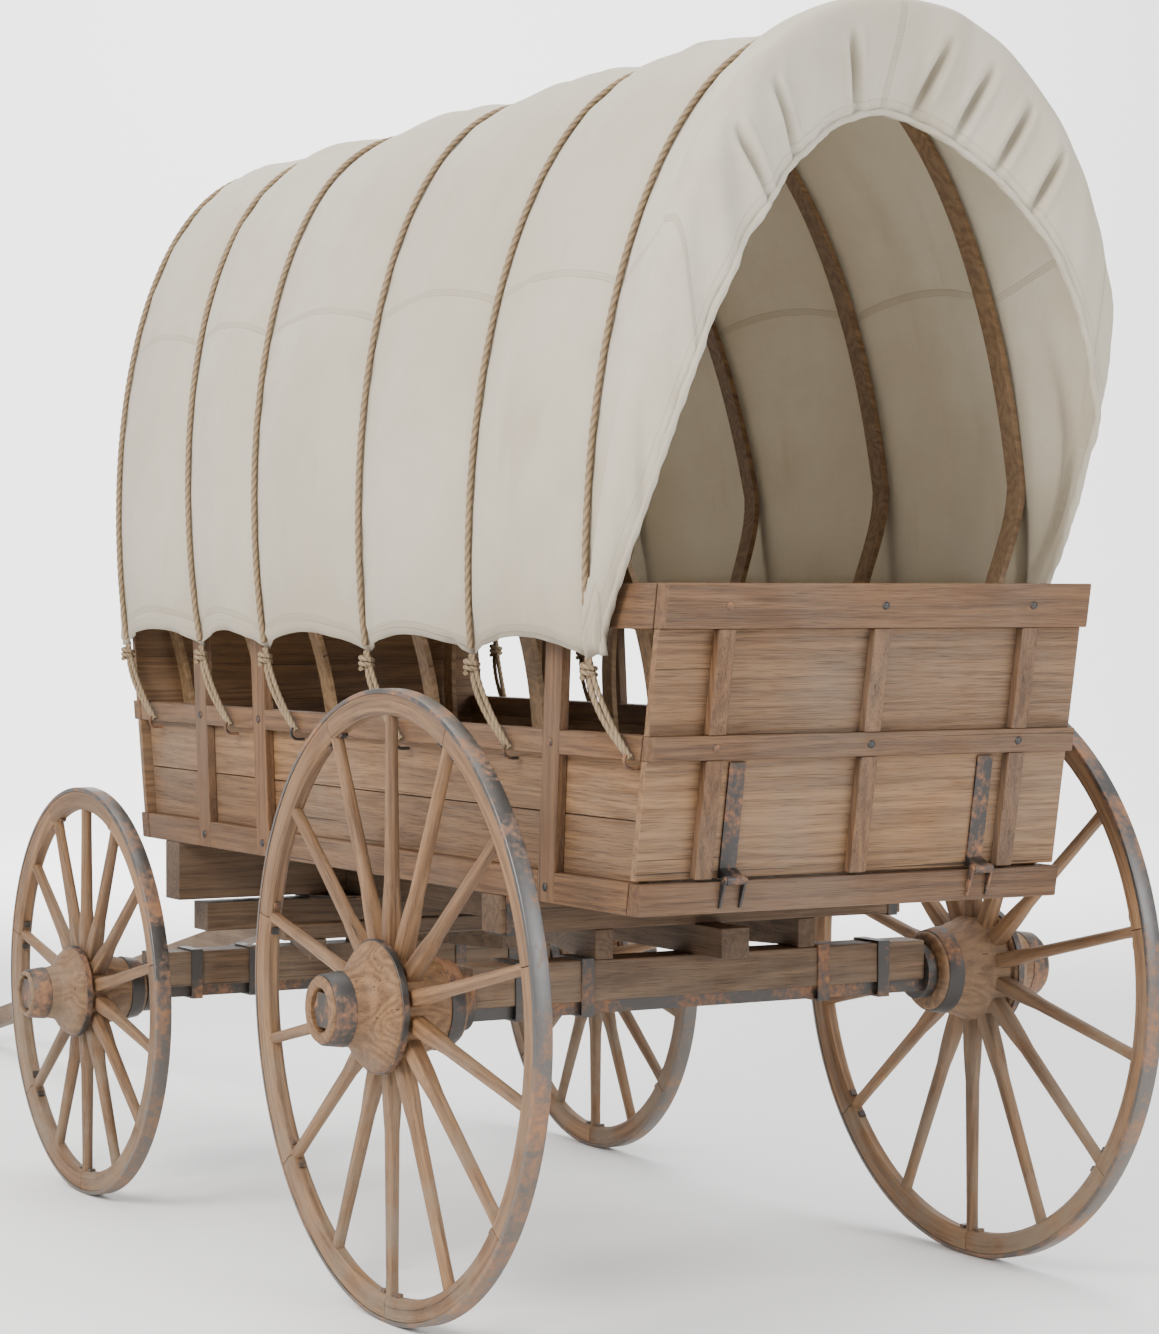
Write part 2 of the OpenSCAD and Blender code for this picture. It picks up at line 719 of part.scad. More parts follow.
// Round at the butt where it swings between the hounds, thinner towards the tip
module pole() {
    b = pole_butt / 2;
    t = pole_tip / 2;
    body = 0.8 * b;
    straight = 500;
    butt_r = hound_h / 2 - 2;
    butt = [for (a = [90 : 15 : 270]) [butt_r * cos(a), butt_r * sin(a)]];
    color("burlywood") difference() {
        along_pole() intersection() {
            rotate([90, 0, 0]) linear_extrude(pole_butt + 2, center = true)
                polygon(concat(butt, [[60, -body], [straight, -body], [pole_l, -t],
                                      [pole_l, t], [straight, body], [60, body]]));
            linear_extrude(3 * pole_butt, center = true)
                polygon([[-b, -b], [straight, -b], [pole_l + 1, -t], [pole_l + 1, t],
                         [straight, b], [-b, b]]);
        }
        axle_cylinder(pole_x, pole_pin_z, -half_w, pole_pin_r + run_gap, box_w);
        along_pole() translate([draw_hole_x, 0, 0])
            cylinder(r = draw_hole_r, h = 2 * pole_butt, center = true, $fn = 64);
    }
}

// Wheels -----------------------------------------------------------------

// Hub: inner end, spoke seat, collar, bell and nose, turned about its axle and bored through
module hub_solid(r_hub) {
    k = r_hub / rear_hub_r;
    seat = hub_seat(r_hub);
    y_rim = track / 2 - hub_in;
    half_seat = felloe_w / 2 + 2;
    rotate_extrude($fn = 96) polygon([
        [0, 0], [82 * k, 0], [90 * k, 8], [96 * k, 50], [seat, y_rim - half_seat],
        [seat, y_rim + half_seat], [0.96 * r_hub, y_rim + half_seat + 1],
        [0.99 * r_hub, y_rim + half_seat + 8], [r_hub, y_rim + half_seat + 16],
        [0.97 * r_hub, y_rim + half_seat + 28], [0.86 * r_hub, y_rim + half_seat + 42],
        [0.68 * r_hub, y_rim + half_seat + 54], [0.6 * r_hub, y_rim + half_seat + 64],
        [0.57 * r_hub, y_rim + half_seat + 80], [0.5 * r_hub, hub_l - 4], [0.48 * r_hub, hub_l],
        [0, hub_l]]);
}

function hub_seat(r_hub) = 0.86 * r_hub;

module hub(r_hub) {
    color("burlywood") difference() {
        hub_solid(r_hub);
        translate([0, 0, -1]) cylinder(r = spindle_r + run_gap, h = hub_l + 2, $fn = 64);
        translate([0, 0, hub_l - nut_recess - 8]) cylinder(r = nut_r + 4, h = nut_recess + 10, $fn = 64);
    }
}

// Flat tapered bars that stand in a ring between the hub's seat and the felloes
module spokes(r_wheel, r_hub) {
    r0 = hub_seat(r_hub) + 0.3;
    r1 = r_wheel - tyre_t - felloe_t - 0.5;
    w0 = 0.28 * r_hub;
    w1 = 0.22 * r_hub;
    t = 0.6 * felloe_w;
    color("burlywood") for (i = [0 : spoke_n - 1]) rotate([0, 0, (i + 0.5) * 360 / spoke_n])
        translate([0, 0, -t / 2]) linear_extrude(t)
            polygon([[r0, -w0 / 2], [r1, -w1 / 2], [r1, w1 / 2], [r0, w0 / 2]]);
}

module ring(r0, r1, w) {
    color("burlywood") translate([0, 0, -w / 2]) difference() {
        cylinder(r = r1, h = w, $fn = 128);
        translate([0, 0, -1]) cylinder(r = r0, h = w + 2, $fn = 128);
    }
}

module felloes(r_wheel) { ring(r_wheel - tyre_t - felloe_t, r_wheel - tyre_t, felloe_w); }

module tyre(r_wheel) { color("dimgray") ring(r_wheel - tyre_t, r_wheel, tyre_w); }

// Children turned so that their Z points outwards along the axle, at the hub's inner end or
// at the rim's middle plane
module at_wheel(x, r_wheel, side, y) {
    translate([x, side * y, r_wheel]) rotate([-side * 90, 0, 0]) children();
}

module rear_hub(side) { at_wheel(rear_axle_x, rear_r, side, hub_in) hub(rear_hub_r); }
module rear_spokes(side) { at_wheel(rear_axle_x, rear_r, side, track / 2) spokes(rear_r, rear_hub_r); }
module rear_felloes(side) { at_wheel(rear_axle_x, rear_r, side, track / 2) felloes(rear_r); }
module rear_tyre(side) { at_wheel(rear_axle_x, rear_r, side, track / 2) tyre(rear_r); }
module front_hub(side) { at_wheel(front_axle_x, front_r, side, hub_in) hub(front_hub_r); }
module front_spokes(side) { at_wheel(front_axle_x, front_r, side, track / 2) spokes(front_r, front_hub_r); }
module front_felloes(side) { at_wheel(front_axle_x, front_r, side, track / 2) felloes(front_r); }
module front_tyre(side) { at_wheel(front_axle_x, front_r, side, track / 2) tyre(front_r); }

placed() floor_boards();
placed() cross_sills();
placed() side_sills();
placed() rear_sill();
placed() left_side_boards();
placed() right_side_boards();
placed() mid_rails();
placed() top_rails();
placed() side_stakes();
placed() front_gate_frame();
placed() front_gate_boards();
placed() cover_bows();
placed() canvas_cover();
placed() tailgate_frame();
placed() tailgate_boards();
placed() tailgate_hinges();
placed() hinge_pins();
placed() reach();
placed() rear_axle_bed();
placed() rear_axle_iron();
placed() rear_bolster();
placed() rear_hounds();
placed() front_bolster();
placed() king_bolt();
placed() front_axle_bed();
placed() front_axle_iron();
placed() front_hounds();
placed() sand_bolster();
placed() sway_bar();
placed() pole_pin();
placed() pole();
placed() rear_hub(1);  // rear_left_hub
placed() rear_spokes(1);  // rear_left_spokes
placed() rear_felloes(1);  // rear_left_felloes
placed() rear_tyre(1);  // rear_left_tyre
placed() rear_hub(-1);  // rear_right_hub
placed() rear_spokes(-1);  // rear_right_spokes
placed() rear_felloes(-1);  // rear_right_felloes
placed() rear_tyre(-1);  // rear_right_tyre
placed() front_hub(1);  // front_left_hub
placed() front_spokes(1);  // front_left_spokes
placed() front_felloes(1);  // front_left_felloes
placed() front_tyre(1);  // front_left_tyre
placed() front_hub(-1);  // front_right_hub
placed() front_spokes(-1);  // front_right_spokes
placed() front_felloes(-1);  // front_right_felloes
placed() front_tyre(-1);  // front_right_tyre
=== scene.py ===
import json
import math

import bmesh
import bpy
import numpy as np
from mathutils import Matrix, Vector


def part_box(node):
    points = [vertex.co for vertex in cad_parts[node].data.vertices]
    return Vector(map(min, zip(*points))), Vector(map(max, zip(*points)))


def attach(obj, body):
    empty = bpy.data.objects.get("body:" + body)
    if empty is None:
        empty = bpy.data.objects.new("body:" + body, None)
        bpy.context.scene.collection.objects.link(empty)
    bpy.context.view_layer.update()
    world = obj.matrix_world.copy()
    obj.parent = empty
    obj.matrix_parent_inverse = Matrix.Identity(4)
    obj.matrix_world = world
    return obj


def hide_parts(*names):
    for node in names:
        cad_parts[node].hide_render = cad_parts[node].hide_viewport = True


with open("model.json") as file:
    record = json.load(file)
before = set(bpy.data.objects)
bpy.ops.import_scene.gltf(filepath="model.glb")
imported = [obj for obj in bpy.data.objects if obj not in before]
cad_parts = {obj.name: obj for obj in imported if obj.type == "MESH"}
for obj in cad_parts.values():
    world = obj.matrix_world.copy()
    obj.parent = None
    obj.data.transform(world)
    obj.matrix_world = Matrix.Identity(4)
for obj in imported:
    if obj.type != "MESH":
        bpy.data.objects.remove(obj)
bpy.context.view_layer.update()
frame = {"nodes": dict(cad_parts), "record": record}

# The view, the floor and the light --------------------------------------
# Metres, X forward, Y to the wagon's left, Z up. The wagon is seen from low behind its left
# side, on a pale sweep of floor and wall, with broad soft lights. Places along the wagon are
# counted from the lower edge of the box's rear sill.

sill_low, sill_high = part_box("rear_sill")
GATE_LEAN = 0.185
box_low = sill_low.z
tail_x = sill_low.x + GATE_LEAN * (sill_high.z - sill_low.z)

VIEW_YAW = math.radians(-29.303)
VIEW_PITCH = math.radians(-1.174)
camera_data = bpy.data.cameras.new("camera")
camera_data.lens = 90.7
camera_data.clip_end = 300
camera = bpy.data.objects.new("camera", camera_data)
camera.location = (tail_x - 5.657, 3.813, 1.507)
camera.rotation_euler = (math.pi / 2 + VIEW_PITCH, 0, VIEW_YAW - math.pi / 2)
bpy.context.scene.collection.objects.link(camera)
bpy.context.scene.camera = camera


class Value:
    """A socket in a material. Arithmetic on it adds Math nodes and gives a new Value."""

    def __init__(self, tree, socket):
        self.tree = tree
        self.socket = socket

    def feed(self, entry):
        self.tree.links.new(self.socket, entry)

    def maths(self, operation, *items):
        node = self.tree.nodes.new("ShaderNodeMath")
        node.operation = operation
        for entry, item in zip(node.inputs, items):
            set_entry(entry, item)
        return Value(self.tree, node.outputs[0])

    def __add__(self, other):
        return self.maths("ADD", self, other)

    __radd__ = __add__

    def __mul__(self, other):
        return self.maths("MULTIPLY", self, other)

    __rmul__ = __mul__

    def __sub__(self, other):
        return self.maths("SUBTRACT", self, other)

    def __rsub__(self, other):
        return self.maths("SUBTRACT", other, self)


def set_entry(entry, item):
    """Links a Value to a node's entry, or sets a plain number, vector or colour on it."""
    if isinstance(item, Value):
        item.feed(entry)
    elif isinstance(item, tuple) and len(item) == 3 and entry.type == "RGBA":
        entry.default_value = (*item, 1)
    else:
        entry.default_value = item


class Finish:
    """A material. node() adds any node from its type, its settings and its sockets' values."""

    def __init__(self, name):
        self.material = bpy.data.materials.new(name)
        self.material.use_nodes = True
        self.tree = self.material.node_tree
        self.tree.nodes.clear()
        self.shader = self.tree.nodes.new("ShaderNodeBsdfPrincipled")
        self.output = self.tree.nodes.new("ShaderNodeOutputMaterial")
        self.tree.links.new(self.shader.outputs[0], self.output.inputs["Surface"])

    def node(self, kind, settings, values, out=0):
        node = self.tree.nodes.new(kind)
        for key, item in settings.items():
            setattr(node, key, item)
        for key, item in values.items():
            set_entry(node.inputs[key], item)
        return Value(self.tree, node.outputs[out])

    def place(self):
        return self.node("ShaderNodeTexCoord", {}, {}, "Object")

    def mark(self, name, out="Vector"):
        return self.node("ShaderNodeAttribute", {"attribute_name": name}, {}, out)

    def part(self, vector, axis):
        return self.node("ShaderNodeSeparateXYZ", {}, {0: vector}, axis)

    def stretch(self, vector, scale):
        return self.node("ShaderNodeVectorMath", {"operation": "MULTIPLY"}, {0: vector, 1: scale})

    def noise(self, vector, scale=1.0, detail=4.0, roughness=0.55):
        values = {"Vector": vector, "Scale": scale, "Detail": detail, "Roughness": roughness}
        return self.node("ShaderNodeTexNoise", {}, values)

    def ramp(self, value, low, high):
        """0 where value is low, 1 where it is high, with a soft turn between."""
        settings = {"interpolation_type": "SMOOTHSTEP"}
        return self.node("ShaderNodeMapRange", settings, {0: value, 1: low, 2: high})

    def blend(self, amount, first, second, way="MIX"):
        settings = {"data_type": "RGBA", "blend_type": way}
        return self.node("ShaderNodeMix", settings, {0: amount, 6: first, 7: second}, 2)

    def bump(self, height, distance, strength=1.0):
        values = {"Height": height, "Distance": distance, "Strength": strength}
        return self.node("ShaderNodeBump", {}, values)

    def give(self, **values):
        for key, item in values.items():
            set_entry(self.shader.inputs[key.replace("_", " ")], item)
        return self.material


def grid_faces(rows, columns, wrap_rows=False, wrap_columns=False):
    """Four-sided faces between neighbours of a grid of points, stored row after row."""
    ids = np.arange(rows * columns).reshape(rows, columns)
    if wrap_rows:
        ids = np.vstack([ids, ids[:1]])
    if wrap_columns:
        ids = np.hstack([ids, ids[:, :1]])
    quads = np.stack([ids[:-1, :-1], ids[1:, :-1], ids[1:, 1:], ids[:-1, 1:]], -1)
    return quads.reshape(-1, 4)


def studio_sweep():
    """Floor and wall: a level stretch, a quarter circle and a straight rise, carried sideways.
    It is laid along the direction of view."""
    before, reach, bend, rise = -16.0, 13.0, 6.0, 14.0
    turn = np.linspace(0, math.pi / 2, 24)
    along = np.concatenate([[before], reach + bend * np.sin(turn), [reach + bend]])
    height = np.concatenate([[0.0], bend * (1 - np.cos(turn)), [bend + rise]])
    side = np.linspace(-32, 32, 9)[:, None]
    ahead = np.array([math.cos(VIEW_YAW), math.sin(VIEW_YAW)])
    x = along * ahead[0] - side * ahead[1]
    y = along * ahead[1] + side * ahead[0]
    points = np.stack([x, y, np.broadcast_to(height, x.shape)], -1)
    mesh = bpy.data.meshes.new("studio_floor")
    mesh.from_pydata(points.reshape(-1, 3).tolist(), [], grid_faces(*x.shape).tolist())
    mesh.shade_smooth()
    floor = bpy.data.objects.new("studio_floor", mesh)
    bpy.context.scene.collection.objects.link(floor)
    paper = Finish("pale_floor")
    grain = paper.noise(paper.place(), 0.7, 2.0)
    colour = paper.blend(grain, (0.90, 0.895, 0.885), (0.93, 0.925, 0.915))
    mesh.materials.append(paper.give(Base_Color=colour, Roughness=0.9))


studio_sweep()


def soft_light(name, place, aim, size, power, colour):
    """A square lamp at a place, turned towards a point."""
    data = bpy.data.lights.new(name, "AREA")
    data.size = size
    data.energy = power
    data.color = colour
    lamp = bpy.data.objects.new(name, data)
    away = np.array(place, float) - np.array(aim, float)
    flat = math.hypot(away[0], away[1])
    lamp.rotation_euler = (math.atan2(flat, away[2]), 0, math.atan2(away[1], away[0]) + math.pi / 2)
    lamp.location = place
    bpy.context.scene.collection.objects.link(lamp)


soft_light("key_light", (-4.5, 7.5, 6.5), (-1.0, 0, 1.2), 4.5, 1250, (1.0, 0.97, 0.925))
soft_light("fill_light", (-9.5, -3.5, 4.0), (-1.5, 0, 1.2), 5.0, 480, (0.94, 0.97, 1.0))
soft_light("wall_light", (8.0, -2.5, 8.5), (17.0, -9.5, 3.0), 9.0, 3600, (1.0, 1.0, 1.0))
soft_light("top_light", (0.5, -1.0, 8.0), (-0.5, 0, 1.2), 6.0, 620, (1.0, 0.99, 0.97))
world = bpy.data.worlds.new("studio_air")
world.use_nodes = True
world.node_tree.nodes["Background"].inputs["Color"].default_value = (0.94, 0.96, 1.0, 1)
world.node_tree.nodes["Background"].inputs["Strength"].default_value = 0.95
bpy.context.scene.world = world

# Box: floor, sills, boards, rails and stakes ------------------------------
# Sawn oak. Boards lie behind stakes that are let into the rails and held by bolts. Each stick is
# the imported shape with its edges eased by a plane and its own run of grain.

chance = np.random.default_rng(1849)


def oak_finish(name, dark, light, weathering, soil):
    """Timber with grain along each stick: growth rings, fibres, pores and drying cracks, greyed
    by weather in patches, and soiled towards the ground."""
    oak = Finish(name)
    grain = oak.mark("grain")
    place = oak.place()
    rings = oak.noise(oak.stretch(grain, (0.45, 9.0, 9.0)), 1.0, 2.0, 0.4)
    rings = oak.node("ShaderNodeMath", {"operation": "SINE"}, {0: rings * 84.0}) * 0.5 + 0.5
    streak = oak.noise(oak.stretch(grain, (0.9, 75.0, 75.0)), 1.0, 6.0, 0.68)
    fibre = oak.noise(oak.stretch(grain, (9.0, 560.0, 560.0)), 1.0, 3.0, 0.65)
    pores = oak.ramp(oak.noise(oak.stretch(grain, (14.0, 700.0, 700.0)), 1.0, 1.0), 0.58, 0.70)
    cracks = oak.ramp(oak.noise(oak.stretch(grain, (0.9, 110.0, 110.0)), 1.0, 4.0, 0.6), 0.66, 0.70)
    figure = oak.ramp(rings * 0.13 + streak * 0.52 + fibre * 0.38, 0.28, 0.76)
    colour = oak.blend(figure, dark, light)
    tone = oak.mark("tone", "Fac")
    colour = oak.blend(tone * 0.6, colour, (0.50, 0.45, 0.42), "MULTIPLY")
    patch = oak.noise(place, 1.9, 5.0, 0.62)
    grey = oak.ramp(patch * 0.6 + fibre * 0.4, 0.40, 0.64) * weathering
    colour = oak.blend(grey, colour, (0.175, 0.145, 0.115))
    colour = oak.blend(pores * 0.45 + cracks * 0.8, colour, (0.03, 0.021, 0.015))
    height = oak.part(place, "Z")
    low = oak.ramp(height, 1.05, 0.05) * oak.ramp(oak.noise(place, 6.0, 6.0, 0.65), 0.38, 0.66)
    colour = oak.blend(low * soil, colour, (0.20, 0.155, 0.11))
    relief = streak * 0.45 + fibre * 0.35 + rings * 0.08 - cracks * 1.2 - pores * 0.35
    rough = fibre * 0.16 + grey * 0.14 + low * 0.1 + 0.52
    return oak.give(Base_Color=colour, Roughness=rough, Normal=oak.bump(relief, 0.0022, 0.75),
                    Specular_IOR_Level=0.35)


board_oak = oak_finish("board_oak", (0.115, 0.055, 0.022), (0.31, 0.168, 0.074), 0.45, 0.5)
frame_oak = oak_finish("frame_oak", (0.070, 0.031, 0.012), (0.20, 0.098, 0.040), 0.32, 0.5)


def put(name, body, mesh, finish, replaces=(), ease=0.0, crease=38.0):
    """Shows a mesh as a piece on a body, with edges sharper than the crease angle kept crisp and
    eased by a small rounding."""
    mesh.shade_smooth()
    mesh.set_sharp_from_angle(angle=math.radians(crease))
    mesh.materials.append(finish)
    shown = bpy.data.objects.new(name, mesh)
    bpy.context.scene.collection.objects.link(shown)
    if ease:
        rounding = shown.modifiers.new("eased_edges", "BEVEL")
        rounding.width = ease
        rounding.segments = 2
        rounding.limit_method = "ANGLE"
        rounding.angle_limit = math.radians(crease)
        rounding.harden_normals = True
    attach(shown, body)
    if replaces:
        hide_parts(*replaces)
    return shown


def body_of(node):
    """The body that a CAD node moves with."""
    groups = frame["record"]["behaviour"]["bodies"]
    return next(body for body, nodes in groups.items() if node in nodes)


def set_mark(mesh, name, values):
    """Stores one number or one vector for each point, for a finish to read."""
    kind, key = ("FLOAT_VECTOR", "vector") if values.ndim == 2 else ("FLOAT", "value")
    layer = mesh.attributes.new(name, kind, "POINT")
    layer.data.foreach_set(key, values.astype(np.float32).ravel())


def whole_copy(node):
    """A CAD node's mesh with its split corners joined and its flat faces made whole."""
    shape = bmesh.new()
    shape.from_mesh(frame["nodes"][node].data)
    bmesh.ops.remove_doubles(shape, verts=shape.verts[:], dist=2e-5)
    flat = math.radians(0.7)
    bmesh.ops.dissolve_limit(shape, angle_limit=flat, verts=shape.verts[:], edges=shape.edges[:])
    mesh = bpy.data.meshes.new(node)
    shape.to_mesh(mesh)
    shape.free()
    mesh.materials.clear()
    return mesh


def mesh_points(mesh):
    points = np.empty(len(mesh.vertices) * 3, np.float32)
    mesh.vertices.foreach_get("co", points)
    return points.reshape(-1, 3).astype(float)


def stick_numbers(mesh):
    """For each point the number of its connected solid: the least point number that it reaches,
    found by passing the lower number along every edge until nothing changes."""
    ends = np.empty(len(mesh.edges) * 2, np.int32)
    mesh.edges.foreach_get("vertices", ends)
    ends = ends.reshape(-1, 2)
    number = np.arange(len(mesh.vertices))
    while True:
        low = number.copy()
        np.minimum.at(low, ends[:, 0], number[ends[:, 1]])
        np.minimum.at(low, ends[:, 1], number[ends[:, 0]])
        if (low == number).all():
            return np.unique(number, return_inverse=True)[1]
        number = low


def lay_grain(mesh, number):
    """Grain runs along each solid's longest side. Its coordinates are the point's own, with that
    side first, moved by a random step so that no two sticks are alike."""
    points = mesh_points(mesh)
    grain = np.empty_like(points)
    tone = np.empty(len(points))
    for stick in range(number.max() + 1):
        mine = number == stick
        order = np.argsort(-np.ptp(points[mine], axis=0), kind="stable")
        grain[mine] = points[mine][:, order] + chance.uniform(-9, 9, 3)
        tone[mine] = chance.uniform(0, 1)
    set_mark(mesh, "grain", grain)
    set_mark(mesh, "tone", tone)


def timber(node, finish, ease=0.003):
    """A CAD node made of sticks, shown with grain and eased edges."""
    mesh = whole_copy(node)
    lay_grain(mesh, stick_numbers(mesh))
    return put("oak_" + node, body_of(node), mesh, finish, [node], ease)


for node in ("floor_boards", "left_side_boards", "right_side_boards", "front_gate_boards"):
    timber(node, board_oak, 0.0018)
for node in ("cross_sills", "side_sills", "rear_sill", "mid_rails", "top_rails", "side_stakes"):
    timber(node, frame_oak)


def points_mesh(name, points, faces):
    """A mesh from points and faces, with every face turned outward."""
    mesh = bpy.data.meshes.new(name)
    mesh.from_pydata(points.reshape(-1, 3).tolist(), [], faces)
    shape = bmesh.new()
    shape.from_mesh(mesh)
    bmesh.ops.recalc_face_normals(shape, faces=shape.faces[:])
    shape.to_mesh(mesh)
    shape.free()
    return mesh


def loops_mesh(name, loops, closed_path=False):
    """Solids made by carrying a loop of points along a path. loops has the solids, the stations
    of each path, the points of each loop and X, Y, Z as its four axes. Open paths get end caps."""
    count, stations, corners, _ = loops.shape
    base = grid_faces(stations, corners, closed_path, True)
    step = stations * corners
    faces = (base[None] + np.arange(count)[:, None, None] * step).reshape(-1, 4).tolist()
    if not closed_path:
        starts = np.arange(count)[:, None] * step
        faces += (starts + np.arange(corners)[::-1]).tolist()
        faces += (starts + step - corners + np.arange(corners)).tolist()
    return points_mesh(name, loops, faces)


def slanted_bars(spans, z0, z1, depth, outward, foot):
    """Bars of an end gate: each span is a left and right edge, and the outer face follows the
    gate's lean from its foot. outward is -1 at the rear and 1 at the front."""
    heights = np.array([z0, z1, z1, z0])
    inward = np.array([0, 0, depth, depth])
    x = foot + outward * (GATE_LEAN * (heights - box_low) - inward)
    y = np.array(spans)
    loops = np.empty((len(spans), 2, 4, 3))
    loops[..., 0] = x
    loops[..., 1] = y[:, :, None]
    loops[..., 2] = heights
    return loops


rail_low, rail_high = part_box("mid_rails")
top_low, top_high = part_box("top_rails")
HALF_W = rail_high.y
STAKE_W = 0.040
STAKE_Y = 0.365
GATE_DEPTH = 0.045
STAKE_DEPTH = 0.023


def gate_frame(node, outward, foot, with_sill, lowest):
    """Rails across the gate, with three stakes between each pair of rails."""
    across = [(-HALF_W, HALF_W)]
    stakes = [(y - STAKE_W / 2, y + STAKE_W / 2) for y in (-STAKE_Y, 0, STAKE_Y)]
    fit = 0.0004
    bars = [slanted_bars(across, rail_low.z, rail_high.z, GATE_DEPTH, outward, foot),
            slanted_bars(across, top_low.z, top_high.z, GATE_DEPTH, outward, foot),
            slanted_bars(stakes, lowest, rail_low.z - fit, STAKE_DEPTH, outward, foot),
            slanted_bars(stakes, rail_high.z + fit, top_low.z - fit, STAKE_DEPTH, outward, foot)]
    if with_sill:
        bars.append(slanted_bars(across, box_low, sill_high.z, GATE_DEPTH, outward, foot))
    mesh = loops_mesh(node, np.concatenate(bars))
    lay_grain(mesh, stick_numbers(mesh))
    put("oak_" + node, body_of(node), mesh, frame_oak, [node], 0.003)


front_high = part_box("front_gate_frame")[1]
nose_x = front_high.x - GATE_LEAN * (front_high.z - box_low)
gate_frame("front_gate_frame", 1, nose_x, True, sill_high.z + 0.0004)


def iron_finish(name, dark, rust, rusting, polish):
    """Forged iron: a dark scale with a faint hammered face, rusted in patches."""
    iron = Finish(name)
    place = iron.place()
    broad = iron.noise(place, 7.0, 6.0, 0.62)
    fine = iron.noise(place, 75.0, 4.0, 0.6)
    rusty = iron.ramp(broad * 0.7 + fine * 0.3, 0.60 - rusting, 0.70 - rusting * 0.5)
    colour = iron.blend(rusty, dark, iron.blend(fine, rust, (0.33, 0.16, 0.075)))
    dust = iron.ramp(iron.part(place, "Z"), 0.9, 0.0) * broad
    colour = iron.blend(dust * 0.5, colour, (0.23, 0.18, 0.13))
    rough = rusty * 0.35 + fine * 0.15 + (0.42 - polish)
    relief = broad * 0.5 + fine * 0.35 + rusty * 0.3
    return iron.give(Base_Color=colour, Roughness=rough, Metallic=0.85 - rusty * 0.7,
                     Normal=iron.bump(relief, 0.0012, 0.7))


forged = iron_finish("forged_iron", (0.060, 0.057, 0.055), (0.15, 0.062, 0.03), 0.12, 0.0)


def studs(name, body, places, facing, radius, height):
    """Bolt heads, round and domed: rings that rise as a quarter ellipse from the timber's face,
    on every place at once. facing is the way that they stand out."""
    rise = np.linspace(0, 0.96 * math.pi / 2, 5)
    turn = np.linspace(0, 2 * math.pi, 12, endpoint=False)
    out = np.array(facing, float)
    side = np.array([out[1], out[2], out[0]])
    side -= out * (side @ out)
    side /= np.linalg.norm(side)
    up = np.cross(out, side)
    ring = np.cos(turn)[:, None] * side + np.sin(turn)[:, None] * up
    dome = radius * np.cos(rise)[:, None, None] * ring + height * np.sin(rise)[:, None, None] * out
    dome = np.concatenate([dome[:1] - 0.002 * out, dome])
    loops = np.array(places, float)[:, None, None, :] + dome[None]
    return put(name, body, loops_mesh(name, loops), forged, (), 0.0, 60)


stakes_mesh = bpy.data.objects["oak_side_stakes"].data
stakes_points = mesh_points(stakes_mesh)
stakes_number = stick_numbers(stakes_mesh)
rail_middles = [(sill_low.z + sill_high.z) / 2, (rail_low.z + rail_high.z) / 2,
                (top_low.z + top_high.z) / 2]


def stake_middle(number, height):
    """Where a side stake's middle line passes a height: between its foot and head middles."""
    mine = stakes_points[stakes_number == number]
    foot = mine[mine[:, 2] < box_low + 0.01].mean(0)
    head = mine[mine[:, 2] > top_high.z - 0.01].mean(0)
    share = (height - foot[2]) / (head[2] - foot[2])
    return foot + (head - foot) * share


for side, word in ((1, "left"), (-1, "right")):
    heads = []
    for number in range(stakes_number.max() + 1):
        for height in rail_middles:
            middle = stake_middle(number, height)
            if middle[1] * side > 0:
                heads.append((middle[0], side * HALF_W, height))
    studs(word + "_stake_bolts", "root", heads, (0, side, 0), 0.0095, 0.0055)


def gate_bolts(name, body, outward, foot, heights):
    """A bolt through each stake at each rail of an end gate."""
    lean = np.array([outward, 0, -GATE_LEAN])
    heads = [(foot + outward * GATE_LEAN * (z - box_low), y, z)
             for z in heights for y in (-STAKE_Y, 0, STAKE_Y)]
    studs(name, body, heads, lean / np.linalg.norm(lean), 0.0085, 0.005)


gate_bolts("front_gate_bolts", "root", 1, nose_x, rail_middles)

# Tailgate -------------------------------------------------------------------
# It drops on two strap hinges. Boards behind three stakes and two rails, like the fixed front
# end. The straps are forged, with a knuckle round each pin.

timber("tailgate_boards", board_oak, 0.0018)
gate_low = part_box("tailgate_boards")[0]
gate_frame("tailgate_frame", -1, tail_x, False, gate_low.z)
gate_bolts("tailgate_bolts", "tailgate", -1, tail_x, rail_middles[1:])


def smithy(node, finish=forged, ease=0.001):
    """A CAD node of iron, shown with slightly rounded edges."""
    return put("iron_" + node, body_of(node), whole_copy(node), finish, [node], ease)


for node in ("tailgate_hinges", "hinge_pins"):
    smithy(node)

# Bows --------------------------------------------------------------------------
# Six flat ash slats, steamed and bent over the box, their feet standing on the floor inside the
# sides. Each lies in a plane that leans forward.

bow_ash = oak_finish("bow_ash", (0.17, 0.095, 0.042), (0.38, 0.235, 0.115), 0.22, 0.0)
BOW_FEET = np.array([0.117, 0.608, 1.075, 1.601, 1.966, 2.480]) + tail_x
BOW_LEAD = np.array([0.057, 0.093, 0.264, 0.382, 0.477, 0.385])
bows_low, bows_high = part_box("cover_bows")
FOOT_Z = bows_low.z
CROWN_Z = bows_high.z
LEG_TOP = 1.750
ARCH_BASE = 1.500
BOW_HALF = 0.530
BOW_FOOT_Y = HALF_W - 0.120
BOW_W = 0.050
BOW_T = 0.014


def lean_at(z, foot, lead):
    """How far forward a bow's plane is at a height."""
    return foot + lead * (z - FOOT_Z) / (CROWN_Z - FOOT_Z)


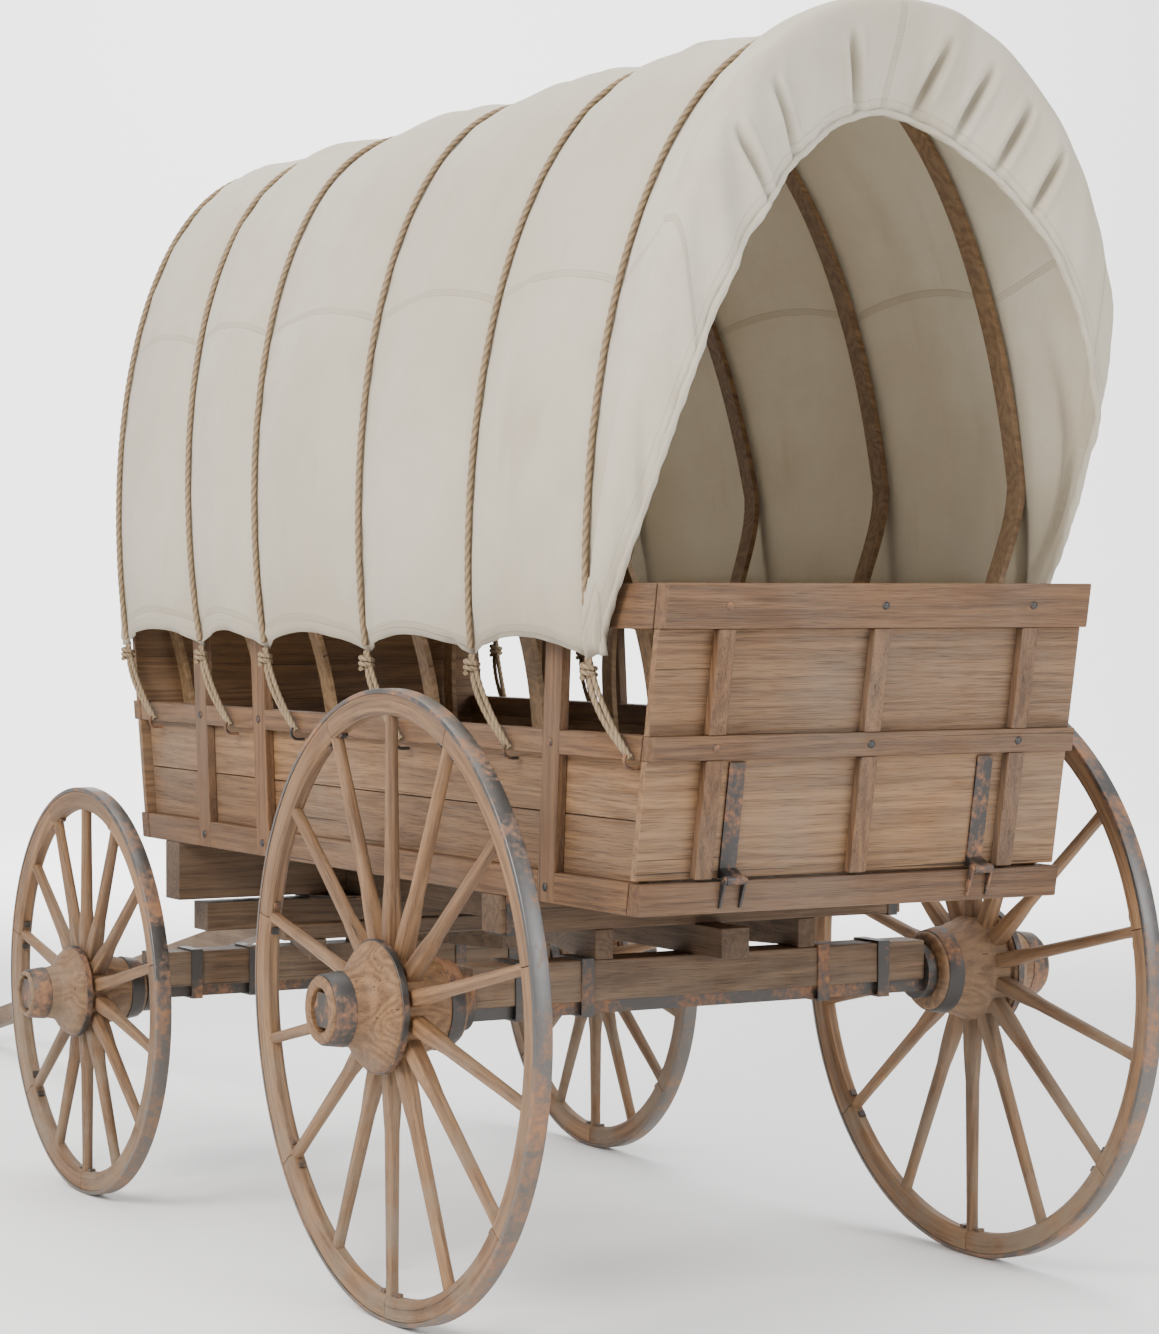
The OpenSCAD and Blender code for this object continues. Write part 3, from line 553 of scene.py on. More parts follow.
def bow_path(deeper):
    """A bow's outline seen from the rear: a leg that swings out from its foot, an arch that is
    the upper part of an ellipse, and the other leg. deeper draws it in by the slat's depth."""
    start = math.asin((LEG_TOP - ARCH_BASE) / (CROWN_Z - ARCH_BASE))
    leg_end = BOW_HALF * math.cos(start)
    climb = np.linspace(0, 1, 26)[:-1]
    leg_z = FOOT_Z + (LEG_TOP - FOOT_Z) * climb
    leg_y = BOW_FOOT_Y + (leg_end - BOW_FOOT_Y) * (1 - np.cos(math.pi * climb ** 2.2)) / 2
    turn = np.linspace(start, math.pi - start, 81)
    y = (BOW_HALF - deeper) * np.cos(turn)
    z = ARCH_BASE + (CROWN_Z - deeper - ARCH_BASE) * np.sin(turn)
    y = np.concatenate([leg_y - deeper, y, -(leg_y[::-1] - deeper)])
    return y, np.concatenate([leg_z, z, leg_z[::-1]])


def ash_bows():
    """Each slat is a rectangle carried along the bow's path, and its grain follows the path."""
    outer, inner = bow_path(0.0), bow_path(BOW_T)
    y = np.stack([outer[0], outer[0], inner[0], inner[0]], -1)
    z = np.stack([outer[1], outer[1], inner[1], inner[1]], -1)
    edge = np.array([-1, 1, 1, -1]) * BOW_W / 2
    steps = np.hypot(np.gradient(outer[0]), np.gradient(outer[1]))
    run = np.broadcast_to(np.cumsum(steps)[:, None], y.shape)
    loops, grain, tone = [], [], []
    for foot, lead in zip(BOW_FEET, BOW_LEAD):
        x = lean_at(z, foot, lead) + edge
        loops.append(np.stack([x, y, z], -1))
        flat = np.stack([run, np.broadcast_to(edge, y.shape), np.hypot(y, z)], -1)
        grain.append(flat + chance.uniform(-9, 9, 3))
        tone.append(np.full(y.shape, chance.uniform(0, 1)))
    mesh = loops_mesh("ash_bows", np.array(loops))
    set_mark(mesh, "grain", np.array(grain).reshape(-1, 3))
    set_mark(mesh, "tone", np.array(tone).ravel())
    put("ash_bows", "root", mesh, bow_ash, ["cover_bows"], 0.002, 50)


ash_bows()

# Running gear ---------------------------------------------------------------
# Hewn oak, dark with grease and road dirt. The rear axle bed, bolster, hounds and reach are fixed
# under the box. The front axle, its hounds and sand bolster turn on the king bolt. Forged clips
# hold each axle's iron to its bed.

gear_oak = oak_finish("gear_oak", (0.062, 0.033, 0.016), (0.18, 0.105, 0.055), 0.34, 0.7)
for node in ("reach", "rear_axle_bed", "rear_bolster", "rear_hounds", "front_axle_bed",
             "front_hounds", "sway_bar"):
    timber(node, gear_oak, 0.004)


def bolster_with_plate(node, plate_above):
    """A bolster whose turning plate is iron: the round plate's faces take the iron finish. They
    lie between the bolster's wood and the other plate."""
    shown = timber(node, gear_oak, 0.0015)
    shown.data.materials.append(forged)
    low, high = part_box(node)
    plate = 0.0052
    for face in shown.data.polygons:
        deep = high.z - face.center.z if plate_above else face.center.z - low.z
        if deep < plate:
            face.material_index = 1


bolster_with_plate("front_bolster", False)
bolster_with_plate("sand_bolster", True)
for node in ("rear_axle_iron", "front_axle_iron", "king_bolt", "pole_pin"):
    smithy(node)


def clips(name, body, places, low, high, wide, thick):
    """Flat iron bands round a beam that lies across the wagon: a rectangle of iron carried round
    the beam's four corners. places are the middles along Y; low and high are the beam's box."""
    x = np.array([low.x, high.x, high.x, low.x])
    z = np.array([low.z, low.z, high.z, high.z])
    out_x = np.array([-1, 1, 1, -1]) * thick
    out_z = np.array([-1, -1, 1, 1]) * thick
    bite = 0.0004
    skin = np.array([-bite / thick, 1, 1, -bite / thick])
    across = np.array([-1, -1, 1, 1]) * wide / 2
    loops = np.empty((len(places), 4, 4, 3))
    loops[..., 0] = x[:, None] + out_x[:, None] * skin
    loops[..., 1] = np.array(places)[:, None, None] + across
    loops[..., 2] = z[:, None] + out_z[:, None] * skin
    mesh = loops_mesh(name, loops, closed_path=True)
    return put(name, body, mesh, forged, (), 0.001)


BED_H = 0.088
IRON_H = 0.028
CLIP_Y = [-0.46, -0.30, 0.30, 0.46]
for end, body in (("rear", "root"), ("front", "front_gear")):
    low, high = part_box(end + "_axle_bed")
    low.z = high.z - BED_H - IRON_H
    clips(end + "_axle_clips", body, CLIP_Y, low, high, 0.030, 0.005)

low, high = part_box("rear_bolster")
clips("rear_bolster_bands", "root", [-0.485, 0.485], low, high, 0.024, 0.004)

# Wheels ------------------------------------------------------------------------
# Fourteen spokes stand in a turned hub and carry seven bent felloes, under a shrunk-on iron
# tyre. Iron bands keep the hub from splitting.

wheel_oak = oak_finish("wheel_wood", (0.105, 0.048, 0.019), (0.31, 0.168, 0.074), 0.26, 0.75)
tyre_iron = iron_finish("tyre_iron", (0.11, 0.104, 0.10), (0.17, 0.08, 0.04), 0.15, 0.08)
SPOKES = 14
FELLOES = 7
FELLOE_W = 0.038
FELLOE_T = 0.046
TYRE_T = 0.010
HUB_L = 0.306
HUB_SEAT = 0.86
REAR_HUB_R = 0.138
TENON = 0.002


def round_axle(centre, side, radius, outward, turn):
    """Points at a radius and a turn about a wheel's axle, and a distance out along it."""
    radius, outward, turn = np.broadcast_arrays(radius, outward, turn)
    return np.stack([centre[0] + radius * np.sin(turn), centre[1] + side * outward,
                     centre[2] + radius * np.cos(turn)], -1)


def turned(name, centre, side, profile, steps=72):
    """A ring turned on a lathe: a closed outline of radius and outward distance, carried once
    round the axle."""
    outline = np.array(profile)
    turn = np.linspace(0, 2 * math.pi, steps, endpoint=False)[:, None]
    points = round_axle(centre, side, outline[:, 0], outline[:, 1], turn)
    return loops_mesh(name, points[None], closed_path=True)


def hub_outline(big, rim):
    """Outline of the hub, from its inner end out: a barrel, the flat that the spokes stand on, a
    full bell and a nose, then back through the nut's recess and the bore."""
    k = big / REAR_HUB_R
    seat = HUB_SEAT * big
    half = FELLOE_W / 2 + 0.002
    bore, recess, nut = 0.02705, 0.038, 0.046
    out = [(0.080 * k, 0), (0.086 * k, 0.003), (0.090 * k, 0.012), (0.0935 * k, 0.030),
           (0.096 * k, 0.050), (0.103 * k, 0.075), (seat - 0.004, rim - half - 0.006),
           (seat, rim - half), (seat, rim + half), (0.95 * big, rim + half + 0.001),
           (0.985 * big, rim + half + 0.006), (big, rim + half + 0.014),
           (0.995 * big, rim + half + 0.022), (0.95 * big, rim + half + 0.032),
           (0.86 * big, rim + half + 0.043), (0.74 * big, rim + half + 0.052),
           (0.65 * big, rim + half + 0.060), (0.60 * big, rim + half + 0.070),
           (0.575 * big, rim + half + 0.085), (0.52 * big, HUB_L - 0.020),
           (0.50 * big, HUB_L - 0.004), (0.48 * big, HUB_L)]
    back = [(nut + 0.004, HUB_L), (nut, HUB_L - 0.004), (nut, HUB_L - recess),
            (bore, HUB_L - recess), (bore, 0)]
    return out + back


def smooth_outline(outline, close=0.004):
    """Adds a point close to each end of every long side, so that the turned face keeps its shape
    where it is shaded round."""
    points = np.array(outline)
    after = np.roll(points, -1, 0)
    length = np.linalg.norm(after - points, axis=1, keepdims=True)
    step = (after - points) / np.maximum(length, 1e-9) * np.minimum(close, length / 3)
    return np.stack([points, points + step, after - step], 1).reshape(-1, 2)


def spokes_mesh(name, centre, side, inner, outer, rim):
    """Spokes: a superellipse section carried outward. It is a squared foot at the hub, soon
    shaved to an oval that narrows towards the felloe."""
    run = np.array([0, 0.02, 0.10, 0.16, 0.22, 0.30, 0.45, 0.60, 0.75, 0.88, 0.96, 1.0])
    wide = np.interp(run, [0, 0.12, 0.3, 0.9, 1], [0.034, 0.033, 0.028, 0.024, 0.025])
    deep = np.interp(run, [0, 0.12, 0.3, 0.9, 1], [0.036, 0.036, 0.031, 0.026, 0.026])
    power = np.interp(run, [0, 0.14, 0.3, 0.9, 1], [7.0, 6.0, 2.5, 2.3, 2.6])[:, None]
    angle = np.linspace(0, 2 * math.pi, 16, endpoint=False) + math.pi / 16
    c, s = np.cos(angle), np.sin(angle)
    across = wide[:, None] / 2 * np.sign(c) * np.abs(c) ** (2 / power)
    along_axle = deep[:, None] / 2 * np.sign(s) * np.abs(s) ** (2 / power)
    reach = (inner + (outer - inner) * run)[:, None] + 0 * across
    turn = (np.arange(SPOKES) * 2 * math.pi / SPOKES)[:, None, None]
    dx = reach * np.sin(turn) + across * np.cos(turn)
    dz = reach * np.cos(turn) - across * np.sin(turn)
    dy = np.broadcast_to(rim + along_axle, dx.shape)
    loops = np.stack([centre[0] + dx, centre[1] + side * dy, centre[2] + dz], -1)
    mesh = loops_mesh(name, loops)
    shift = chance.uniform(-9, 9, (SPOKES, 1, 1, 3))
    grain = np.stack(np.broadcast_arrays(reach, across, along_axle), -1)[None] + shift
    set_mark(mesh, "grain", grain.reshape(-1, 3))
    tone = np.broadcast_to(chance.uniform(0, 1, (SPOKES, 1, 1)), dx.shape)
    set_mark(mesh, "tone", tone.ravel())
    return mesh


def felloes_mesh(name, centre, side, inner, outer, rim):
    """Felloes: a rectangle with its inner corners shaved off, carried round a seventh of the
    rim, with a hair's gap at each joint."""
    shave = 0.009
    half = FELLOE_W / 2
    radius = np.array([inner, inner, inner + shave, outer, outer, inner + shave])
    width = np.array([-half + shave, half - shave, half, half, -half, -half])
    gap = 0.0008 / outer
    start = (np.arange(FELLOES) + 0.5) * 2 * math.pi / FELLOES
    sweep = np.linspace(gap, 2 * math.pi / FELLOES - gap, 17)
    turn = (start[:, None] + sweep)[..., None]
    loops = round_axle(centre, side, radius, rim + width, turn)
    mesh = loops_mesh(name, loops)
    shift = chance.uniform(-9, 9, (FELLOES, 1, 1, 3))
    grain = np.stack(np.broadcast_arrays(turn * outer, radius, width), -1) + shift
    set_mark(mesh, "grain", grain.reshape(-1, 3))
    tone = np.broadcast_to(chance.uniform(0, 1, (FELLOES, 1, 1)), loops.shape[:-1])
    set_mark(mesh, "tone", tone.ravel())
    return mesh


def tyre_outline(outer, rim, wide):
    """The tyre's section: a flat bar with worn, rounded tread edges."""
    half, edge, inner = wide / 2, 0.003, outer - TYRE_T + 0.0002
    return [(inner, rim - half), (outer - edge, rim - half), (outer - edge * 0.3, rim - half + edge * 0.3),
            (outer, rim - half + edge), (outer, rim + half - edge),
            (outer - edge * 0.3, rim + half - edge * 0.3), (outer - edge, rim + half), (inner, rim + half)]


def wheel(word, side):
    """One wheel with all its pieces, from its CAD tyre's place and size."""
    body = word + "_wheel"
    low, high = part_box(word + "_tyre")
    hub_low, hub_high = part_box(word + "_hub")
    big = (hub_high.z - hub_low.z) / 2
    outer = (high.z - low.z) / 2
    inner_end = min(abs(hub_low.y), abs(hub_high.y))
    centre = ((low.x + high.x) / 2, side * inner_end, (low.z + high.z) / 2)
    rim = abs((low.y + high.y) / 2) - inner_end
    felloe_out = outer - TYRE_T
    felloe_in = felloe_out - FELLOE_T

    hub = turned(body + "_hub", centre, side, smooth_outline(hub_outline(big, rim)))
    points = mesh_points(hub) - np.array(centre)
    turn = np.arctan2(points[:, 0], points[:, 2])
    radius = np.hypot(points[:, 0], points[:, 2])
    across = np.stack([points[:, 1], radius * np.cos(turn), radius * np.sin(turn)], -1)
    set_mark(hub, "grain", across + chance.uniform(-9, 9, 3))
    set_mark(hub, "tone", np.full(len(points), 0.45))
    put(body + "_hub", body, hub, wheel_oak, [word + "_hub"], 0.0, 42)

    inner = HUB_SEAT * big - TENON
    spokes = spokes_mesh(body + "_spokes", centre, side, inner, felloe_in + TENON, rim)
    put(body + "_spokes", body, spokes, wheel_oak, [word + "_spokes"], 0.0, 45)
    felloes = felloes_mesh(body + "_felloes", centre, side, felloe_in, felloe_out, rim)
    put(body + "_felloes", body, felloes, wheel_oak, [word + "_felloes"], 0.0015)
    tyre = turned(body + "_tyre", centre, side, tyre_outline(outer, rim, high.y - low.y), 144)
    put(body + "_tyre", body, tyre, tyre_iron, [word + "_tyre"], 0.0, 50)
    hub_bands(body, centre, side, big, rim)
    tyre_nuts(body, centre, side, felloe_in, rim)


def band(near, far, r_near, r_far, thick=0.0035, bite=0.0008):
    """Outline of a hoop round the hub, between two distances along it, with eased edges."""
    edge = 0.0012
    return [(r_near - bite, near), (r_near + thick - edge, near), (r_near + thick, near + edge),
            (r_far + thick, far - edge), (r_far + thick - edge, far), (r_far - bite, far)]


def hub_bands(body, centre, side, big, rim):
    """Three hoops: at the inner end, round the bell and round the nose."""
    k = big / REAR_HUB_R
    bell = rim + FELLOE_W / 2 + 0.002
    hoops = {"inner": band(0.010, 0.046, 0.0885 * k, 0.0955 * k),
             "bell": band(bell + 0.006, bell + 0.022, 0.985 * big + 0.001, 0.995 * big + 0.0005, 0.003),
             "nose": band(HUB_L - 0.052, HUB_L - 0.008, 0.548 * big, 0.508 * big)}
    for word, outline in hoops.items():
        mesh = turned(body + "_" + word + "_hoop", centre, side, outline)
        put(body + "_" + word + "_hoop", body, mesh, forged, (), 0.0, 40)


def tyre_nuts(body, centre, side, felloe_in, rim):
    """A square nut of each tyre bolt, on the felloes' inner face beside every joint: a short
    four-cornered post that stands towards the hub."""
    half, rise = 0.0075, 0.007
    spread = 0.030 / felloe_in
    joints = (np.arange(FELLOES) + 0.5) * 2 * math.pi / FELLOES
    turn = np.concatenate([joints - spread, joints + spread])[:, None, None]
    corner = np.array([[-1, -1], [1, -1], [1, 1], [-1, 1]]) * half
    reach = np.array([felloe_in + 0.001, felloe_in - rise])[:, None]
    dx = reach * np.sin(turn) + corner[:, 0] * np.cos(turn)
    dz = reach * np.cos(turn) - corner[:, 0] * np.sin(turn)
    dy = np.broadcast_to(rim + corner[:, 1], dx.shape)
    loops = np.stack([centre[0] + dx, centre[1] + side * dy, centre[2] + dz], -1)
    mesh = loops_mesh(body + "_tyre_nuts", loops)
    put(body + "_tyre_nuts", body, mesh, forged, (), 0.0, 30)


for word in ("rear_left", "rear_right", "front_left", "front_right"):
    wheel(word, 1 if word.endswith("left") else -1)

# Pole --------------------------------------------------------------------------
# A straight tapered pole between the front hounds. Its tip lies on the ground.

timber("pole", gear_oak, 0.006)

# Canvas cover ------------------------------------------------------------------
# One sheet of unbleached cotton duck, sewn up from lengthwise widths. It is drawn over the bows,
# tied down between its swells, and gathered on a cord round each end's opening.

COVER_GAP = 0.008
SWELL = 0.030
HEM_Z = 1.385
HEM_ARCH = 0.044
HEM_IN = 0.004
VALLEY_W = BOW_HALF + COVER_GAP
VALLEY_TOP = CROWN_Z + COVER_GAP
RIM_TOP = VALLEY_TOP + SWELL
FRONT_START = BOW_W / 2 + 0.003
FRONT_OUT = 0.036
RIM_HALF = 0.561
RIM_SIDE_Z = 1.800
RIM_HEM_IN = 0.028
RIM_OUT = 0.275
RIM_RISE = 1.015
LIP_HALF = 0.525
LIP_DROP = 0.214
LIP_OUT = 0.300
LIP_RISE = 0.700
LIP_BACK = 0.094
HOOD_LOW = 1.435
COLUMNS = 265
BAY_ROWS = 16
HOOD_ROWS = 64
FRONT_ROWS = 20


def section(u, half, top, low, base=ARCH_BASE, power=2.0, hem_in=HEM_IN):
    """The cover seen from the rear, for u from 0 at the left hem to 1 at the right. Its height
    follows half a sine wave. Its half width is constant below the base height, but for the hem
    drawn in with the square of the depth, and a superellipse above."""
    z = low + (top - low) * np.sin(math.pi * np.minimum(u, 1 - u))
    k = np.clip((z - base) / (top - base), 0, 1)
    y = half * (1 - k ** power) ** (1 / power)
    y = y - hem_in * np.clip((base - z) / (base - low), 0, 1) ** 2
    return np.where(u < 0.5, y, -y), z


def rise(z, reach):
    """0 at the foot of the hood, 1 from reach above it, along a quarter of a sine wave."""
    return np.sin(math.pi / 2 * np.clip((z - HOOD_LOW) / reach, 0, 1))


def lip(y, z, power=1.55):
    """The opening drawn in from the rim: the same height scaled down, and no wider than a
    pointed arch."""
    share = (z - HEM_Z) / (RIM_TOP - HEM_Z)
    top = RIM_TOP - LIP_DROP
    low_z = HEM_Z + (top - HEM_Z) * share
    arch = LIP_HALF * np.maximum(0, 1 - np.clip(share, 0, 1) ** 3) ** (1 / power)
    tuck = 0.004 * np.sin(math.pi * np.minimum(1, 3 * share))
    return np.sign(y) * np.minimum(np.abs(y) - tuck, arch), low_z


def through(first, middle, last, t, pull):
    """A curve from first at t 0, through middle at a half, to last at 1: a quadratic whose handle
    is weighted by pull. The greater the pull, the sharper it turns at the middle."""
    handle = ((2 + 2 * pull) * middle - first - last) / (2 * pull)
    s = 1 - t
    weight = 2 * pull * s * t
    return (s * s * first + weight * handle + t * t * last) / (s * s + weight + t * t)


def cover_rows():
    """The cover's grid of points, from the rear lip to the front lip. Between bows the section
    swells as a power of a sine, and each hood curves from its bow through its rim to its lip.
    Columns lie closest near the crown, where the hoods are gathered."""
    sparse = np.linspace(0, 0.28, 45)[:-1]
    u = np.concatenate([sparse, np.linspace(0.28, 0.72, COLUMNS - 88), 1 - sparse[::-1]])[None, :]
    y0, z0 = section(u, VALLEY_W, VALLEY_TOP, HEM_Z)
    rim_y, rim_z = section(u, RIM_HALF, RIM_TOP, HEM_Z + 0.010, RIM_SIDE_Z, 2.2, RIM_HEM_IN)
    lip_y, lip_z = lip(rim_y, rim_z)
    turn_z = HOOD_LOW + LIP_RISE
    past = np.clip((lip_z - turn_z) / (RIM_TOP - LIP_DROP - turn_z), 0, 1)
    rim_x = BOW_FEET[0] - RIM_OUT * rise(rim_z, RIM_RISE)
    lip_x = BOW_FEET[0] - LIP_OUT * rise(lip_z, LIP_RISE) + LIP_BACK * past ** 2
    valley = np.stack(np.broadcast_arrays(lean_at(z0, BOW_FEET[0], BOW_LEAD[0]), y0, z0), -1)
    rim = np.stack([rim_x, rim_y, rim_z], -1)
    edge = np.stack([lip_x, lip_y, lip_z], -1)
    t = np.linspace(1, 0, HOOD_ROWS, endpoint=False)[:, None, None]
    rows = [through(valley, rim, edge, t, 4.0)]
    share = np.linspace(0, 1, BAY_ROWS, endpoint=False)[:, None]
    swell = np.sin(math.pi * share) ** 0.7
    for i in range(len(BOW_FEET) - 1):
        y, z = section(u, VALLEY_W + SWELL * swell, VALLEY_TOP + SWELL * swell, HEM_Z + HEM_ARCH * swell)
        foot = BOW_FEET[i] + (BOW_FEET[i + 1] - BOW_FEET[i]) * share
        lead = BOW_LEAD[i] + (BOW_LEAD[i + 1] - BOW_LEAD[i]) * share
        rows.append(np.stack([lean_at(z, foot, lead), y, z], -1))
    front_y, front_z = lip(y0, z0)
    t = np.linspace(0, 1, FRONT_ROWS)[:, None]
    ahead = FRONT_START * np.minimum(1, 4 * t) + FRONT_OUT * np.sin(math.pi / 2 * t)
    drawn = np.clip((t - 0.25) / 0.75, 0, 1)
    y, z = y0 + (front_y - y0) * drawn, z0 + (front_z - z0) * drawn
    rows.append(np.stack([lean_at(z, BOW_FEET[-1], BOW_LEAD[-1]) + ahead, y, z], -1))
    return np.concatenate(rows)


def ripples(a, b, seed, waves, a_rate, b_rate):
    """Cloth-like unevenness, about -1 to 1: the sum of waves with random directions, lengths up
    to the given rates a metre, and random starts."""
    dice = np.random.default_rng(seed)
    total = np.zeros(np.broadcast(a, b).shape)
    for _ in range(waves):
        ka, kb = dice.uniform(-1, 1) * a_rate, dice.uniform(-1, 1) * b_rate
        total += np.cos(2 * math.pi * (ka * a + kb * b + dice.uniform()))
    return total / math.sqrt(waves / 2) / 1.6


def run_along(points, axis):
    """Distance travelled over the grid along one of its axes, in metres."""
    step = np.linalg.norm(np.diff(points, axis=axis), axis=-1)
    pad = [(1, 0), (0, 0)] if axis == 0 else [(0, 0), (1, 0)]
    return np.cumsum(np.pad(step, pad), axis=axis)


BELLY_DEPTH = 0.006
DRAG_DEPTH = 0.0075
CREASE_DEPTH = 0.0035
FAN_DEPTH = 0.007
PLEAT_DEPTH = 0.006
GATHER_DEPTH = 0.021
FOLD_DEPTH = 0.014
GATHERS = ((0.296, 2.258), (0.218, 2.350), (0.054, 2.439), (-0.052, 2.426), (-0.134, 2.396),
           (-0.221, 2.343), (-0.305, 2.276))
front_first = HOOD_ROWS + BAY_ROWS * (len(BOW_FEET) - 1)


def gather_depth(points, along):
    """Leaf-shaped folds round the rear opening. Each runs from the lip three quarters of the way
    to the rim, as a groove with a bell-shaped section between two slight ridges."""
    lip_row = points[0]
    rim_row = HOOD_ROWS // 2
    reach = 1 - np.clip(along[:HOOD_ROWS] / along[rim_row], 0, 1)
    leaf = np.sin(math.pi * np.clip((reach - 0.22) / 0.80, 0, 1)) ** 0.8
    depth = np.zeros(points.shape[:2])
    for y, z in GATHERS:
        column = np.argmin(np.hypot(lip_row[:, 1] - y, lip_row[:, 2] - z))
        run = np.linalg.norm(points[:HOOD_ROWS] - points[:HOOD_ROWS, column:column + 1], axis=-1)
        groove = np.exp(-(run / 0.0085) ** 2) - 0.45 * np.exp(-((run - 0.021) / 0.009) ** 2)
        depth[:HOOD_ROWS] += leaf[:, column:column + 1] * groove
    return -GATHER_DEPTH * depth


FOLDS = (((0.174, 1.54), (0.125, 1.83), (0.196, 2.165)), ((0.135, 1.54), (0.012, 1.90), (0.028, 2.0)))


def side_folds(points):
    """Two long folds inside the hood on the right, fanning up from the rear tie: each is a groove
    along a parabola through three points of x and z."""
    x, y, z = points[..., 0], points[..., 1], points[..., 2]
    depth = np.zeros(x.shape)
    for fold in FOLDS:
        fold_x, fold_z = np.array(fold).T
        curve = np.polyval(np.polyfit(fold_z, fold_x, 2), z) + tail_x
        fade = np.clip((z - fold_z[0] + 0.1) / 0.1, 0, 1) * np.clip((fold_z[2] + 0.08 - z) / 0.2, 0, 1)
        depth += fade * np.exp(-((x - curve) / 0.014) ** 2)
    return FOLD_DEPTH * depth * (y < 0)


def canvas_points():
    """The finished sheet: the drawn-over shape, moved along its own normal by its folds. The
    folds are soft bellies, drag lines down each bay, short creases beside the ropes, fans above
    each tie, and the pleats, gathers and side folds of the hoods."""
    points = cover_rows()
    along, around = run_along(points, 0), run_along(points, 1)
    middle = COLUMNS // 2
    x = points[..., 0]
    arc = around - around[:, middle:middle + 1]
    normal = np.cross(np.gradient(points, axis=1), np.gradient(points, axis=0))
    normal /= np.maximum(np.linalg.norm(normal, axis=-1, keepdims=True), 1e-9)
    out = normal * np.sign((normal * (points - [0, 0, 1.7])).sum(-1, keepdims=True))
    from_bow = np.full(len(points), 9.0)
    for i in range(len(BOW_FEET)):
        bow_row = HOOD_ROWS + BAY_ROWS * i
        gap = np.abs(along[:, middle] - along[bow_row, middle])
        from_bow = np.minimum(from_bow, gap)
    inside = np.clip(from_bow / 0.10, 0, 1)[:, None]
    belly = ripples(x, arc, 3, 10, 1.6, 1.1) * BELLY_DEPTH * inside
    drag = (1 - np.abs(ripples(x + 0.10 * arc, arc, 11, 14, 6.0, 0.7))) ** 3
    drag = (drag - 0.35) * DRAG_DEPTH * inside
    crease = ripples(x, arc, 5, 16, 3.0, 11.0) * CREASE_DEPTH * np.exp(-from_bow / 0.055)[:, None]
    low = np.clip((1.95 - points[..., 2]) / 0.57, 0, 1)
    fan = np.zeros(points.shape[:2])
    for i in range(len(BOW_FEET)):
        bow_row = min(HOOD_ROWS + BAY_ROWS * i, len(points) - 1)
        tie = points[bow_row, 0]
        angle = np.arctan2(x - tie[0], points[..., 2] - tie[2] + 0.05)
        near = np.exp(-np.hypot(x - tie[0], points[..., 2] - tie[2]) / 0.22)
        fan += near * (np.cos(angle * 11 + i) + 0.5 * np.cos(angle * 19 + 2 * i))
    fan = fan * FAN_DEPTH * low
    hood = np.zeros(len(points))
    hood[:HOOD_ROWS] = np.linspace(1, 0, HOOD_ROWS, endpoint=False)
    hood[front_first:] = np.linspace(0, 1, FRONT_ROWS)
    pleat = ripples(along * 0.2, arc, 21, 14, 2.0, 9.0) * PLEAT_DEPTH * (hood ** 1.6)[:, None]
    pleat = pleat * np.clip((points[..., 2] - 1.45) / 0.3, 0, 1)
    gather = gather_depth(points, along)
    fold = side_folds(points)
    move = belly + drag + crease + fan + pleat + gather + fold
    stay = np.clip(from_bow / 0.02, 0.25, 1)[:, None]
    # Painted shade in the gathers and side folds: how deep each point lies in them.
    crease_shade = np.clip(-gather / 0.016, 0, 1) + fold / FOLD_DEPTH
    return points + out * (move * stay)[..., None], along, arc, crease_shade, from_bow


